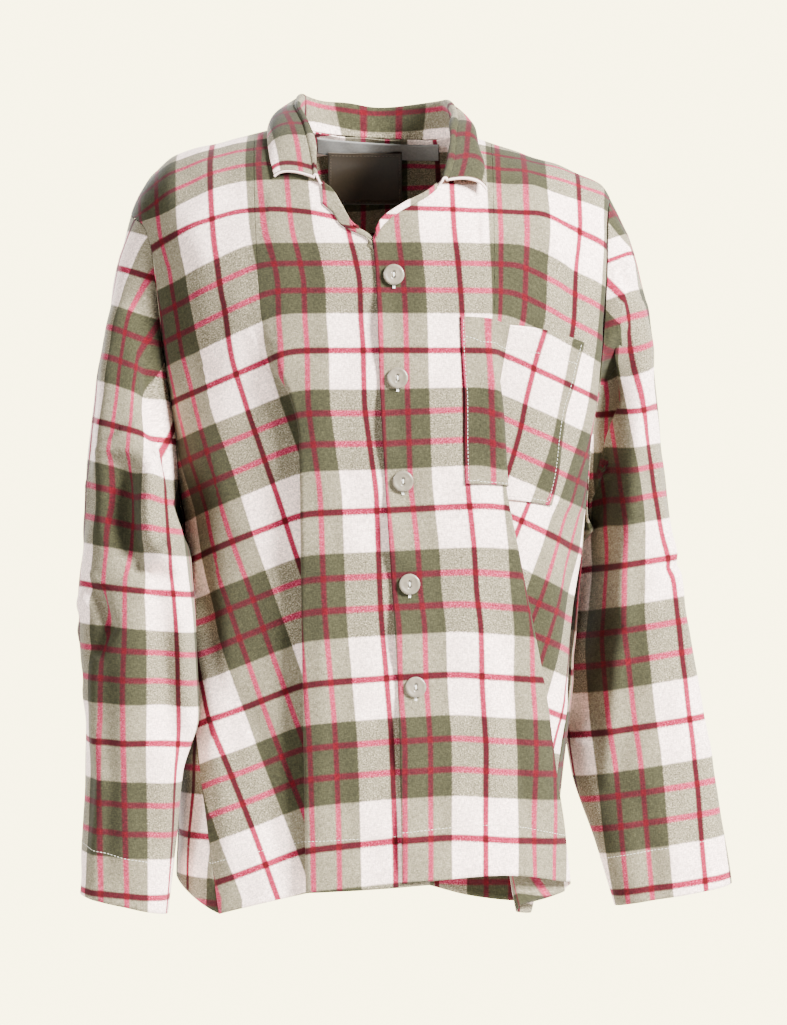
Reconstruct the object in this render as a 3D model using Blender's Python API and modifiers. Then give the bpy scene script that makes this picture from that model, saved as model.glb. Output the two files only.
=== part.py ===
"""Long-sleeved pajama top, filled out and hollow, in metres, +Z up.

The front faces -Y and the wearer's left is at +X. The origin is in the middle of the neck at shoulder height,
which is where the wearer carries the garment. Each cut piece is an open surface worked out from the sections
of the body, given its wall by Solidify.
"""

from collections import namedtuple

import bpy
import numpy as np
from mathutils import Matrix, Vector

# ---------------------------------------------------------------- driving sizes
CLOTH = 0.0016  # wall of one cut piece
TRIM = 0.0012  # wall of a narrow strip, the label and the pocket
GAP = 0.0003  # clearance between neighbouring pieces
SEAM_TRIM = 0.0006  # how far each piece stops short of a seam, so that coarse facets keep the clearance
FULLNESS = 0.12  # how much a body section is squarer than an ellipse
CROWN = 0.12  # drop over which the shoulders round over to the front and the back
UNDERARM = -0.345  # height of the underarm points
FOLD_RADIUS_TURN = 0.011  # length of cloth in one bend of a deep fold
ARC_RADIUS = 0.165  # mean radius of the body, turns lengths into angles
UNDERLAP = 0.030  # how far the right front passes under the left one
UNDERLAP_DROP = 0.0027  # and how much deeper it lies there

BUTTON_RADIUS = 0.010
BUTTON_THICKNESS = 0.003
BUTTON_HOLE = 0.0011
BUTTON_HOLE_SPACING = 0.0044
FIRST_BUTTON = -0.127
BUTTON_PITCH = 0.0942
BUTTON_COUNT = 5
BUTTON_INSET = 0.0163  # from the closing edge to a button's middle

Level = namedtuple("Level", "height left right front back")
BODY_LEVELS = (
    Level(+0.060, 0.250, 0.250, 0.116, 0.110),
    Level(-0.050, 0.243, 0.235, 0.120, 0.112),
    Level(-0.120, 0.221, 0.226, 0.125, 0.116),
    Level(-0.210, 0.206, 0.218, 0.126, 0.116),
    Level(-0.280, 0.195, 0.206, 0.123, 0.110),
    Level(-0.345, 0.188, 0.196, 0.120, 0.105),
    Level(-0.430, 0.190, 0.190, 0.118, 0.102),
    Level(-0.550, 0.187, 0.186, 0.119, 0.104),
    Level(-0.730, 0.188, 0.185, 0.122, 0.108),
)

RidgePoint = namedtuple("RidgePoint", "x height")
SHOULDER_RIDGE = (
    RidgePoint(-0.250, -0.110),
    RidgePoint(-0.2335, -0.0600),
    RidgePoint(-0.2210, -0.0330),
    RidgePoint(-0.2080, -0.0186),
    RidgePoint(-0.1910, -0.0050),
    RidgePoint(-0.1390, 0.0090),
    RidgePoint(-0.0750, 0.0250),
    RidgePoint(0.0000, 0.0410),
    RidgePoint(0.0750, 0.0170),
    RidgePoint(0.0930, 0.0105),
    RidgePoint(0.1400, -0.0050),
    RidgePoint(0.1800, -0.0186),
    RidgePoint(0.2100, -0.0330),
    RidgePoint(0.2190, -0.0450),
    RidgePoint(0.2500, -0.1100),
)

ArmholePoint = namedtuple("ArmholePoint", "height left right")
ARMHOLES = (
    ArmholePoint(-0.0450, 0.2335, 0.2190),
    ArmholePoint(-0.0600, 0.2335, 0.2165),
    ArmholePoint(-0.0766, 0.2175, 0.2150),
    ArmholePoint(-0.1000, 0.2100, 0.2140),
    ArmholePoint(-0.1470, 0.2050, 0.2115),
    ArmholePoint(-0.2170, 0.1980, 0.2070),
    ArmholePoint(-0.2850, 0.1890, 0.1985),
    ArmholePoint(UNDERARM, 0.1880, 0.1960),
)
SHOULDER_TIPS = {"left": -0.0600, "right": -0.0450}

NeckPoint = namedtuple("NeckPoint", "x height")
FRONT_NECKLINES = {
    "left": (
        NeckPoint(-0.0750, 0.0250),
        NeckPoint(-0.0660, -0.0120),
        NeckPoint(-0.0515, -0.0405),
        NeckPoint(-0.0414, -0.0490),
        NeckPoint(-0.0340, -0.0611),
        NeckPoint(-0.0239, -0.0786),
        NeckPoint(-0.0046, -0.0960),
        NeckPoint(0.0010, -0.1040),
        NeckPoint(0.0300, -0.1150),
    ),
    "right": (
        NeckPoint(-0.0055, -0.0970),
        NeckPoint(-0.0030, -0.0900),
        NeckPoint(0.0037, -0.0767),
        NeckPoint(0.0202, -0.0648),
        NeckPoint(0.0543, -0.0436),
        NeckPoint(0.0665, -0.0150),
        NeckPoint(0.0750, 0.0170),
    ),
}
BACK_NECKLINE = (
    NeckPoint(-0.0750, 0.0250),
    NeckPoint(-0.0687, 0.0222),
    NeckPoint(0.0000, 0.0180),
    NeckPoint(0.0687, 0.0146),
    NeckPoint(0.0750, 0.0170),
)

EdgePoint = namedtuple("EdgePoint", "height x")
CLOSING_EDGE = (
    EdgePoint(-0.060, -0.0055),
    EdgePoint(-0.096, -0.0040),
    EdgePoint(-0.130, -0.0012),
    EdgePoint(-0.240, 0.0028),
    EdgePoint(-0.350, 0.0091),
    EdgePoint(-0.520, 0.0192),
    EdgePoint(-0.720, 0.0232),
)

Fold = namedtuple("Fold", "height crest middle turned")  # crest: distance out from the middle of the body
DEEP_FOLDS = {
    "left": (
        Fold(0.050, 0.118, 0.000, 2),
        Fold(-0.150, 0.108, 0.000, 4),
        Fold(-0.210, 0.096, 0.001, 70),
        Fold(-0.236, 0.081, 0.003, 115),
        Fold(-0.273, 0.0715, 0.008, 150),
        Fold(-0.310, 0.0705, 0.014, 164),
        Fold(-0.430, 0.0690, 0.030, 169),
        Fold(-0.560, 0.0670, 0.046, 170),
        Fold(-0.720, 0.0645, 0.064, 170),
    ),
    "right": (
        Fold(0.050, 0.106, 0.000, 2),
        Fold(-0.160, 0.107, 0.000, 4),
        Fold(-0.215, 0.110, 0.002, 75),
        Fold(-0.250, 0.113, 0.007, 130),
        Fold(-0.310, 0.1165, 0.018, 165),
        Fold(-0.384, 0.130, 0.030, 170),
        Fold(-0.510, 0.154, 0.046, 171),
        Fold(-0.620, 0.169, 0.064, 171),
        Fold(-0.720, 0.181, 0.080, 171),
    ),
}
FOLD_FROM, FOLD_TO = 0.30, 0.70  # share of a front's columns before and after its deep fold
BEND_SHARE = 0.4  # share of the fold's own columns in each of its two bends
FOLD_LIFT = 0.004  # how far the crest of a deep fold stands proud

Seam = namedtuple("Seam", "height turned shift")  # shift: how far the seam lies outside the plain section
SIDE_SEAMS = {
    "left": (
        Seam(UNDERARM, 90, 0.000),
        Seam(-0.390, 78, 0.000),
        Seam(-0.500, 64, 0.002),
        Seam(-0.600, 55, 0.004),
        Seam(-0.720, 45, 0.006),
    ),
    "right": (
        Seam(UNDERARM, 90, 0.000),
        Seam(-0.390, 85, 0.000),
        Seam(-0.500, 79, -0.003),
        Seam(-0.600, 72, -0.013),
        Seam(-0.720, 67, -0.028),
    ),
}

HemPoint = namedtuple("HemPoint", "across height")
HEMS = {
    "front_right": (
        HemPoint(0.00, -0.6850),
        HemPoint(0.20, -0.6900),
        HemPoint(0.38, -0.6925),
        HemPoint(0.62, -0.6700),
        HemPoint(0.80, -0.6900),
        HemPoint(1.00, -0.7140),
    ),
    "front_left": (
        HemPoint(0.00, -0.6835),
        HemPoint(0.13, -0.6775),
        HemPoint(0.30, -0.6900),
        HemPoint(0.42, -0.6960),
        HemPoint(0.62, -0.7130),
        HemPoint(0.84, -0.7175),
        HemPoint(0.92, -0.7010),
        HemPoint(1.00, -0.6960),
    ),
    "back": (
        HemPoint(0.00, -0.7140),
        HemPoint(0.14, -0.6860),
        HemPoint(0.30, -0.6800),
        HemPoint(0.52, -0.6980),
        HemPoint(0.72, -0.7230),
        HemPoint(0.86, -0.7040),
        HemPoint(1.00, -0.6960),
    ),
}

Flute = namedtuple("Flute", "turned width depth top")
BACK_FLUTES = (
    Flute(112, 11, -0.007, -0.42),
    Flute(137, 13, 0.012, -0.30),
    Flute(158, 11, -0.008, -0.34),
    Flute(181, 14, 0.010, -0.24),
    Flute(206, 12, -0.009, -0.36),
    Flute(229, 13, 0.011, -0.28),
    Flute(252, 11, -0.007, -0.42),
)

Ring = namedtuple("Ring", "along out_height in_height out_x in_x middle depth lean")
SLEEVES = {
    "left": (
        Ring(0.10, -0.104, -0.362, 0.2450, 0.1960, -0.016, 0.061, 0.014),
        Ring(0.22, -0.165, -0.380, 0.2550, 0.1885, -0.036, 0.062, 0.022),
        Ring(0.35, -0.245, -0.408, 0.2630, 0.1850, -0.052, 0.061, 0.022),
        Ring(0.48, -0.335, -0.440, 0.2710, 0.1820, -0.064, 0.058, 0.020),
        Ring(0.60, -0.425, -0.480, 0.2780, 0.1760, -0.074, 0.055, 0.016),
        Ring(0.70, -0.495, -0.530, 0.2740, 0.1700, -0.078, 0.050, 0.012),
        Ring(0.80, -0.560, -0.585, 0.2690, 0.1810, -0.072, 0.047, 0.006),
        Ring(0.90, -0.630, -0.650, 0.2730, 0.1880, -0.062, 0.045, 0.002),
        Ring(1.00, -0.697, -0.7175, 0.2770, 0.1965, -0.054, 0.043, 0.000),
    ),
    "right": (
        Ring(0.10, -0.085, -0.362, 0.2390, 0.2035, 0.006, 0.060, -0.012),
        Ring(0.22, -0.150, -0.378, 0.2540, 0.1980, 0.014, 0.060, -0.020),
        Ring(0.35, -0.235, -0.405, 0.2640, 0.1920, 0.022, 0.057, -0.022),
        Ring(0.48, -0.320, -0.435, 0.2740, 0.1880, 0.028, 0.052, -0.022),
        Ring(0.60, -0.405, -0.480, 0.2860, 0.1855, 0.030, 0.047, -0.018),
        Ring(0.70, -0.480, -0.530, 0.2970, 0.1860, 0.028, 0.043, -0.012),
        Ring(0.80, -0.550, -0.590, 0.3100, 0.1895, 0.024, 0.039, -0.006),
        Ring(0.90, -0.625, -0.655, 0.3240, 0.2070, 0.018, 0.034, 0.000),
        Ring(1.00, -0.697, -0.718, 0.3370, 0.2260, 0.014, 0.029, 0.000),
    ),
}
SLEEVE_ROWS = 12
SLEEVE_HEAD = 0.14  # share of a sleeve's length over which it turns from its armhole into its tube
SLEEVE_CLEAR_TOP, SLEEVE_CLEAR_UNDER = 0.0010, 0.0062
COLLAR_SEAT = 0.0032  # how far the collar's stand starts above the neck seam

CollarPoint = namedtuple("CollarPoint", "along roll_x roll_y roll_z edge_x edge_y lift")
COLLAR = (
    CollarPoint(0.00, -0.0550, -0.1100, -0.0350, -0.0945, -0.0955, 0.0045),
    CollarPoint(0.07, -0.0575, -0.0900, -0.0080, -0.0990, -0.0800, 0.0050),
    CollarPoint(0.15, -0.0640, -0.0600, 0.0200, -0.1020, -0.0540, 0.0050),
    CollarPoint(0.25, -0.0730, -0.0180, 0.0440, -0.1030, -0.0080, 0.0050),
    CollarPoint(0.35, -0.0700, 0.0330, 0.0560, -0.0900, 0.0500, 0.0050),
    CollarPoint(0.50, -0.0020, 0.0690, 0.0495, -0.0020, 0.0870, 0.0050),
    CollarPoint(0.65, 0.0620, 0.0330, 0.0505, 0.0830, 0.0500, 0.0050),
    CollarPoint(0.75, 0.0695, -0.0160, 0.0350, 0.0890, -0.0080, 0.0050),
    CollarPoint(0.85, 0.0675, -0.0600, 0.0120, 0.0925, -0.0560, 0.0055),
    CollarPoint(0.93, 0.0655, -0.0900, -0.0160, 0.0970, -0.0800, 0.0065),
    CollarPoint(1.00, 0.0600, -0.1105, -0.0380, 0.0980, -0.0975, 0.0080),
)
COLLAR_WALL = 0.0020
ROLL_RADIUS = 0.0032
COLLAR_BOW = 0.007  # how far the fall bows out between the roll and its edge
COLLAR_SECTIONS = 25
COLLAR_ROWS = (0.0, 0.17, 0.34, 0.39, 0.44, 0.49, 0.54, 0.66, 0.78, 0.89, 1.0)
COLLAR_ENDS = {"left": -0.0515, "right": 0.0543}  # where the collar starts and stops along the neckline
STAND_SHARE, ROLL_SHARE = 0.34, 0.54  # shares of the collar's width up to and past its roll

TapeSize = namedtuple("TapeSize", "half_width from_seam to_seam inset")
NECK_TAPE = TapeSize(0.0600, 0.0015, 0.0150, 0.0039)
LabelSize = namedtuple("LabelSize", "left right top bottom inset")
LABEL = LabelSize(-0.0500, 0.0240, 0.0088, -0.0385, 0.0057)

FacingPoint = namedtuple("FacingPoint", "x depth")  # how far the rolled facing reaches below the neckline
FACINGS = {
    "left": (
        FacingPoint(-0.0505, 0.0200),
        FacingPoint(-0.0340, 0.0215),
        FacingPoint(-0.0160, 0.0130),
        FacingPoint(-0.0050, 0.0115),
    ),
    "right": (
        FacingPoint(-0.0015, 0.0070),
        FacingPoint(0.0202, 0.0048),
        FacingPoint(0.0543, 0.0045),
    ),
}
FACING_PROUD = 0.0012  # how far a rolled facing stands above the neckline

PocketPoint = namedtuple("PocketPoint", "share top bottom")
POCKET = (
    PocketPoint(0.0, -0.1640, -0.3180),
    PocketPoint(0.3, -0.1655, -0.3180),
    PocketPoint(0.7, -0.1720, -0.3270),
    PocketPoint(1.0, -0.1963, -0.3440),
)
POCKET_SHARES = (0.15, 0.30, 0.70, 1.00), (0.0, 0.3, 0.7, 1.0)  # share across the front, and across the pocket
PocketSide = namedtuple("PocketSide", "height left right")
POCKET_SIDES = (
    PocketSide(-0.160, 0.0760, 0.1925),
    PocketSide(-0.258, 0.0775, 0.1770),
    PocketSide(-0.345, 0.0790, 0.1550),
)
LAYER = 0.0028  # distance between the middles of a panel and of a pocket that lies on it
FACING_LAYER = 0.0025
FACING_COLUMNS = 12

# ---------------------------------------------------------------- colours
OLIVE = (0.30, 0.31, 0.22, 1.0)
CREAM = (0.72, 0.68, 0.66, 1.0)
SATIN_BROWN = (0.10, 0.075, 0.05, 1.0)
SHELL_GREY = (0.55, 0.53, 0.45, 1.0)


# ---------------------------------------------------------------- curves through short tables
def through(places, values, where):
    """Smooth curve through a short table: cubic pieces that never overshoot the rows they join."""
    places, values = np.asarray(places, float), np.asarray(values, float)
    if places[0] > places[-1]:
        places, values = places[::-1], values[::-1]
    step = np.diff(places)
    rise = np.diff(values) / step
    slope = np.zeros_like(values)
    same_way = rise[:-1] * rise[1:] > 0
    total = np.where(same_way, rise[:-1] + rise[1:], 1.0)
    slope[1:-1] = np.where(same_way, 2 * rise[:-1] * rise[1:] / total, 0.0)
    slope[0], slope[-1] = rise[0], rise[-1]
    where = np.clip(where, places[0], places[-1])
    k = np.clip(np.searchsorted(places, where, side="right") - 1, 0, len(step) - 1)
    t = (where - places[k]) / step[k]
    return (
        (2 * t**3 - 3 * t**2 + 1) * values[k]
        + (t**3 - 2 * t**2 + t) * step[k] * slope[k]
        + (3 * t**2 - 2 * t**3) * values[k + 1]
        + (t**3 - t**2) * step[k] * slope[k + 1]
    )


def read(table, by, name, where):
    """The column called name of a table, as a smooth function of the column called by."""
    return through([getattr(row, by) for row in table], [getattr(row, name) for row in table], where)


def ease(value, start, stop):
    """0 before start, 1 after stop, and a smooth step between."""
    t = np.clip((value - start) / (stop - start), 0, 1)
    return t * t * (3 - 2 * t)


# ---------------------------------------------------------------- the body's sections
TURNS = np.linspace(0, np.pi / 2, 181)
FULL_SINES = np.sin(TURNS) * (1 + FULLNESS * np.cos(TURNS) ** 2)


def ridge(x):
    return read(SHOULDER_RIDGE, "x", "height", x)


def level_size(first, name, other, height):
    """Half size of the body at a height: the column called name where first holds, the other one elsewhere."""
    sizes = read(BODY_LEVELS, "height", name, height), read(BODY_LEVELS, "height", other, height)
    return np.where(first, *sizes)


def turn_at(x, height):
    """The turn from straight ahead at which the front section has this x."""
    reach = level_size(x < 0, "left", "right", height)
    return np.sign(x) * np.interp(np.abs(x) / reach, FULL_SINES, TURNS)


def body_point(turn, height, shift):
    """A point of the cloth: turn is 0 at the front and 90 degrees at +X; shift moves it out of its section."""
    sine, cosine = np.sin(turn), np.cos(turn)
    reach = level_size(sine < 0, "left", "right", height)
    deep = level_size(cosine > 0, "front", "back", height)
    x = reach * sine * (1 + FULLNESS * cosine**2)
    drop = np.clip((ridge(x) - height) / CROWN, 0, 1)
    y = -deep * cosine * (1 + FULLNESS * sine**2) * np.sqrt(1 - (1 - drop) ** 2)
    out_x, out_y = sine * deep, -cosine * reach
    length = np.hypot(out_x, out_y)
    return np.stack([x + shift * out_x / length, y + shift * out_y / length, height + 0 * x], axis=-1)


# ---------------------------------------------------------------- the cut pieces as surfaces
def fold_curve(share, middle, turned):
    """An S-shaped fold: bend under, run back, bend forward again. Gives travel along and out of the section."""
    bend = FOLD_RADIUS_TURN
    angle = np.radians(turned)
    radius = bend / angle
    first = np.clip(share / BEND_SHARE, 0, 1) * bend
    run = np.clip((share - BEND_SHARE) / (1 - 2 * BEND_SHARE), 0, 1) * middle
    last = np.clip((share - 1 + BEND_SHARE) / BEND_SHARE, 0, 1) * bend
    along = radius * np.sin(first / radius) + run * np.cos(angle)
    along += radius * (np.sin(angle) - np.sin(angle - last / radius))
    out = -radius * (1 - np.cos(first / radius)) - run * np.sin(angle)
    out -= radius * (np.cos(angle - last / radius) - np.cos(angle))
    crest = radius * np.sin(np.minimum(angle, np.pi / 2))
    return along - crest, out


def fold_turns(side, height):
    """Turns, counted outwards, of a front's edge, of the start and the end of its deep fold, and of its seam."""
    sign = -1 if side == "left" else 1
    folds = DEEP_FOLDS[side]
    edge = read(CLOSING_EDGE, "height", "x", height)
    if side == "left":
        edge = edge + UNDERLAP * ease(-height, 0.078, 0.100)
    middle, turned = read(folds, "height", "middle", height), read(folds, "height", "turned", height)
    crest = sign * turn_at(sign * read(folds, "height", "crest", height), height)
    start, _ = fold_curve(np.zeros_like(height), middle, turned)
    stop, _ = fold_curve(np.ones_like(height), middle, turned)
    return sign * turn_at(edge, height), crest, start / ARC_RADIUS, stop / ARC_RADIUS, side_turn(side, height)


def front_point(side, across, height):
    """A point of a front: across runs from its front edge (0) to its armhole and side seam (1)."""
    sign = -1 if side == "left" else 1
    folds = DEEP_FOLDS[side]
    first, crest, start, stop, last = fold_turns(side, height)
    middle, turned = read(folds, "height", "middle", height), read(folds, "height", "turned", height)
    share = np.clip((across - FOLD_FROM) / (FOLD_TO - FOLD_FROM), 0, 1)
    along, out = fold_curve(share, middle, turned)
    from_edge, to_side = across / FOLD_FROM, (across - FOLD_TO) / (1 - FOLD_TO)
    before = first + (crest + start - first) * from_edge
    after = crest + stop + (last - crest - stop) * to_side
    turn = np.where(across < FOLD_FROM, before, np.where(across < FOLD_TO, crest + along / ARC_RADIUS, after))
    lift = FOLD_LIFT * turned / 170 * ease(across, 0.05, FOLD_FROM)
    settle = ease(across, FOLD_TO, 1.0)
    seam_shift = np.where(height > UNDERARM, 0, read(SIDE_SEAMS[side], "height", "shift", height))
    shift = (lift + out) * (1 - settle) + seam_shift * settle
    if side == "left":
        shift = shift - UNDERLAP_DROP * (1 - ease(across, 0.10, FOLD_FROM))
    return body_point(sign * turn, height, shift)


def side_turn(side, height):
    """How far round from straight ahead a front's outer edge lies: its armhole, then its side seam."""
    armhole = np.interp(
        read(ARMHOLES, "height", side, height) / read(BODY_LEVELS, "height", side, height), FULL_SINES, TURNS
    )
    seam = np.radians(read(SIDE_SEAMS[side], "height", "turned", height))
    return np.where(height > UNDERARM, armhole, seam)


def back_point(across, height):
    """A point of the back: across runs from the wearer's right side seam (0) round to the left one (1)."""
    ends = []
    for side in ("left", "right"):
        front = side_turn(side, height)
        ends.append(np.where(height > UNDERARM, np.pi - front, front))
    first, last = ends[0], 2 * np.pi - ends[1]
    turn = first + (last - first) * across
    shift = np.zeros_like(turn)
    for flute in BACK_FLUTES:
        wave = np.exp(-(((np.degrees(turn) - flute.turned) / flute.width) ** 2))
        shift = shift + flute.depth * wave * ease(height, flute.top, -0.70)
    for side, away in (("left", across), ("right", 1 - across)):
        seam_shift = np.where(height > UNDERARM, 0, read(SIDE_SEAMS[side], "height", "shift", height))
        shift = shift + seam_shift * (1 - ease(away, 0.0, 0.30))
    return body_point(-turn, height, shift)


def neckline(side, x):
    """Height of a front's top edge: its neckline in the middle, the shoulder ridge outside it."""
    rows = FRONT_NECKLINES[side]
    inside = x > rows[0].x if side == "left" else x < rows[-1].x
    return np.where(inside, read(rows, "x", "height", x), ridge(x))


def back_neckline(x):
    inside = (x > BACK_NECKLINE[0].x) & (x < BACK_NECKLINE[-1].x)
    return np.where(inside, read(BACK_NECKLINE, "x", "height", x), ridge(x))


SEARCH = 0.045, -0.120, 331  # heights between which a top edge is looked for, and how many are tried
HALVINGS = 20


def tops(point, top_edge, across, limits):
    """Height at which each column of a piece meets its top edge: the highest place where it is under it."""
    heights = np.linspace(*SEARCH)[:, None] + 0 * across[None, :]
    x = point(np.broadcast_to(across, heights.shape), heights)[..., 0]
    first = np.argmax(heights <= top_edge(x), axis=0)
    low, high = heights[first, 0], heights[first - 1, 0]
    for _ in range(HALVINGS):
        middle = (low + high) / 2
        under = middle <= top_edge(point(across, middle)[..., 0])
        low, high = np.where(under, middle, low), np.where(under, high, middle)
    for place, limit in zip((0, -1), limits):
        if limit is not None:
            low[place] = limit
    return low


# ---------------------------------------------------------------- meshes
ROW_DROPS = np.array([0, 0.006, 0.023, 0.049, 0.083, 0.120, 0.162, 0.204, 0.246, 0.285])
BELOW = np.linspace(0, 1, 10)[1:]


def row_shares(tip, hem):
    """Shares of a column's length at which its rows lie, so that one row ends exactly at the underarm."""
    upper = ROW_DROPS / ROW_DROPS[-1] * (tip - UNDERARM)
    lower = (tip - UNDERARM) + BELOW * (UNDERARM - hem)
    return np.concatenate([upper, lower]) / (tip - hem)


def mesh_from_grid(name, grid, flip=False, loop=False):
    """A mesh of quads over a grid of points, closed on itself across its columns if loop is set."""
    rows, columns = grid.shape[:2]
    index = np.arange(rows * columns).reshape(rows, columns)
    if loop:
        index = np.concatenate([index, index[:, :1]], axis=1)
    corners = np.stack([index[:-1, :-1], index[:-1, 1:], index[1:, 1:], index[1:, :-1]], axis=-1).reshape(-1, 4)
    if flip:
        corners = corners[:, ::-1]
    mesh = bpy.data.meshes.new(name)
    mesh.from_pydata(grid.reshape(-1, 3).tolist(), [], corners.tolist())
    mesh.update()
    return mesh


def material(name, colour, roughness):
    """A Principled material."""
    made = bpy.data.materials.new(name)
    made.use_nodes = True
    shader = made.node_tree.nodes["Principled BSDF"]
    shader.inputs["Base Color"].default_value = colour
    shader.inputs["Roughness"].default_value = roughness
    return made


def add_piece(collection, name, mesh, colour, roughness, wall=None):
    """Puts a mesh in the scene as one named piece, with a wall centred on its surface."""
    piece = bpy.data.objects.new(name, mesh)
    collection.objects.link(piece)
    piece.data.materials.append(material(name, colour, roughness))
    mesh.shade_smooth()
    if wall:
        shell = piece.modifiers.new("Wall", "SOLIDIFY")
        shell.thickness = wall
        shell.offset = 0
        shell.use_even_offset = False
        shell.use_quality_normals = True
    return piece


def normals_of(grid):
    """Unit normals of a grid of points, from its differences down and across, pointing out of the body."""
    normal = np.cross(np.gradient(grid, axis=1), np.gradient(grid, axis=0))
    return normal / np.linalg.norm(normal, axis=-1, keepdims=True)


def moved_out(grid, distance):
    return grid + normals_of(grid) * distance


def trimmed(grid, top=0.0, first=0.0, last=0.0):
    """The grid with its top row and its end columns drawn in along the cloth by these distances."""
    grid = grid.copy()
    for edge, inner, distance in (
        (grid[0], grid[1], top),
        (grid[:, 0], grid[:, 1], first),
        (grid[:, -1], grid[:, -2], last),
    ):
        inward = inner - edge
        edge += inward * np.minimum(distance / np.linalg.norm(inward, axis=-1, keepdims=True), 0.5)
    return grid


def between(grid, row, column):
    """Points of a grid at fractional rows and columns, from the four points round each."""
    r = np.clip(np.floor(row).astype(int), 0, grid.shape[0] - 2)
    c = np.clip(np.floor(column).astype(int), 0, grid.shape[1] - 2)
    u, v = (row - r), (column - c)
    if grid.ndim == 3:
        u, v = u[..., None], v[..., None]
    return (grid[r, c] * (1 - v) + grid[r, c + 1] * v) * (1 - u) + (
        grid[r + 1, c] * (1 - v) + grid[r + 1, c + 1] * v
    ) * u


FOLD_COLUMNS = FOLD_FROM + (FOLD_TO - FOLD_FROM) * np.linspace(0, 1, 11)
NECK_COLUMNS = (0, 0.05, 0.10, 0.15, 0.19, 0.2225, 0.26)  # one of them meets the neck point
FRONT_COLUMNS = np.concatenate([NECK_COLUMNS, FOLD_COLUMNS, np.linspace(FOLD_TO, 1, 7)[1:]])


def front_grid(side):
    """A front's points and their heights, from its top edge down and from its front edge out."""
    name = "front_right" if side == "left" else "front_left"
    hem = read(HEMS[name], "across", "height", FRONT_COLUMNS)
    tip = SHOULDER_TIPS[side]

    def point(across, height):
        return front_point(side, across, height)

    def top_edge(x):
        return neckline(side, x)

    top = tops(point, top_edge, FRONT_COLUMNS, (None, tip))
    height = top + row_shares(tip, hem[-1])[:, None] * (hem - top)
    grid = point(np.broadcast_to(FRONT_COLUMNS, height.shape), height)
    return trimmed(grid, top=SEAM_TRIM, last=SEAM_TRIM), height


def build_fronts(collection):
    for side, name in (("left", "front_right"), ("right", "front_left")):
        grid, _ = front_grid(side)
        add_piece(collection, name, mesh_from_grid(name, grid, flip=(side == "right")), OLIVE, 0.9, CLOTH)


def build_back(collection):
    across = np.linspace(0, 1, 27)
    hem = read(HEMS["back"], "across", "height", across)
    tips = SHOULDER_TIPS["left"], SHOULDER_TIPS["right"]
    top = tops(back_point, back_neckline, across, tips)
    left, right = row_shares(tips[0], hem[0]), row_shares(tips[1], hem[-1])
    shares = left[:, None] * (1 - across) + right[:, None] * across
    grid = back_point(np.broadcast_to(across, shares.shape), top + shares * (hem - top))
    grid = trimmed(grid, top=SEAM_TRIM, first=SEAM_TRIM, last=SEAM_TRIM)
    add_piece(collection, "back", mesh_from_grid("back", grid, flip=False), OLIVE, 0.9, CLOTH)


# ---------------------------------------------------------------- sleeves
def armhole_loop(side):
    """Points round an armhole: from the shoulder tip down the front to the underarm, and up the back."""
    tip = SHOULDER_TIPS[side]
    height = tip - ROW_DROPS / ROW_DROPS[-1] * (tip - UNDERARM)
    front = front_point(side, np.ones_like(height), height)
    back = back_point(np.full_like(height, 0.0 if side == "left" else 1.0), height)
    return np.concatenate([front, back[-2:0:-1]])


def sleeve_ring(side, along, angle):
    """A point of the sleeve's tube: angle is 0 outside, 90 degrees at the front, 180 towards the body."""
    rings, sign = SLEEVES[side], (-1 if side == "left" else 1)
    size = {name: read(rings, "along", name, along) for name in Ring._fields[1:]}
    sine, cosine = np.sin(angle), np.cos(angle)
    full_cosine = cosine * (1 + FULLNESS * sine**2)
    full_sine = sine * (1 + FULLNESS * cosine**2)
    x = (size["out_x"] + size["in_x"]) / 2 + (size["out_x"] - size["in_x"]) / 2 * full_cosine
    y = size["middle"] + size["lean"] * cosine - size["depth"] * full_sine
    z = (size["out_height"] + size["in_height"]) / 2 + (size["out_height"] - size["in_height"]) / 2 * cosine
    return np.stack([sign * x, y, z], axis=-1)


def build_sleeve(collection, side, name):
    """Lofts one sleeve from its armhole, which it clears by a little more towards the underarm, to its cuff."""
    loop = armhole_loop(side)
    angle = np.linspace(0, 2 * np.pi, len(loop), endpoint=False)[None, :]
    along = np.concatenate([[0.0, 0.03, 0.07], np.linspace(0.12, 1, SLEEVE_ROWS - 1)])[:, None]
    tube = sleeve_ring(side, along + 0 * angle, angle + 0 * along)
    away = tube[0] - loop
    away /= np.linalg.norm(away, axis=-1, keepdims=True)
    clearance = SLEEVE_CLEAR_TOP + (SLEEVE_CLEAR_UNDER - SLEEVE_CLEAR_TOP) * (1 - np.cos(angle[0] / 2) ** 4)
    start = loop + away * clearance[:, None]
    joined = np.sin(np.pi / 2 * np.clip(along / SLEEVE_HEAD, 0, 1))[..., None]
    grid = start * (1 - joined) + tube * joined
    mesh = mesh_from_grid(name, grid, flip=(side == "left"), loop=True)
    add_piece(collection, name, mesh, OLIVE, 0.9, CLOTH)


# ---------------------------------------------------------------- collar, tape, label, facings
def roof(x, y):
    """Point of the shoulders above a place in plan, and the way out of the cloth there."""
    turn = turn_at(x, np.zeros_like(x))
    deep = level_size(y < 0, "front", "back", 0 * x)
    deep = deep * np.cos(turn) * (1 + FULLNESS * np.sin(turn) ** 2)
    level = np.sqrt(1 - np.clip(y / deep, -1, 1) ** 2)
    slope = (ridge(x + 0.002) - ridge(x - 0.002)) / 0.004
    out = np.stack([-slope * level / CROWN, y / deep**2, level / CROWN], axis=-1)
    out /= np.linalg.norm(out, axis=-1, keepdims=True)
    return np.stack([x, y, ridge(x) - CROWN * (1 - level)], axis=-1), out


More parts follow.
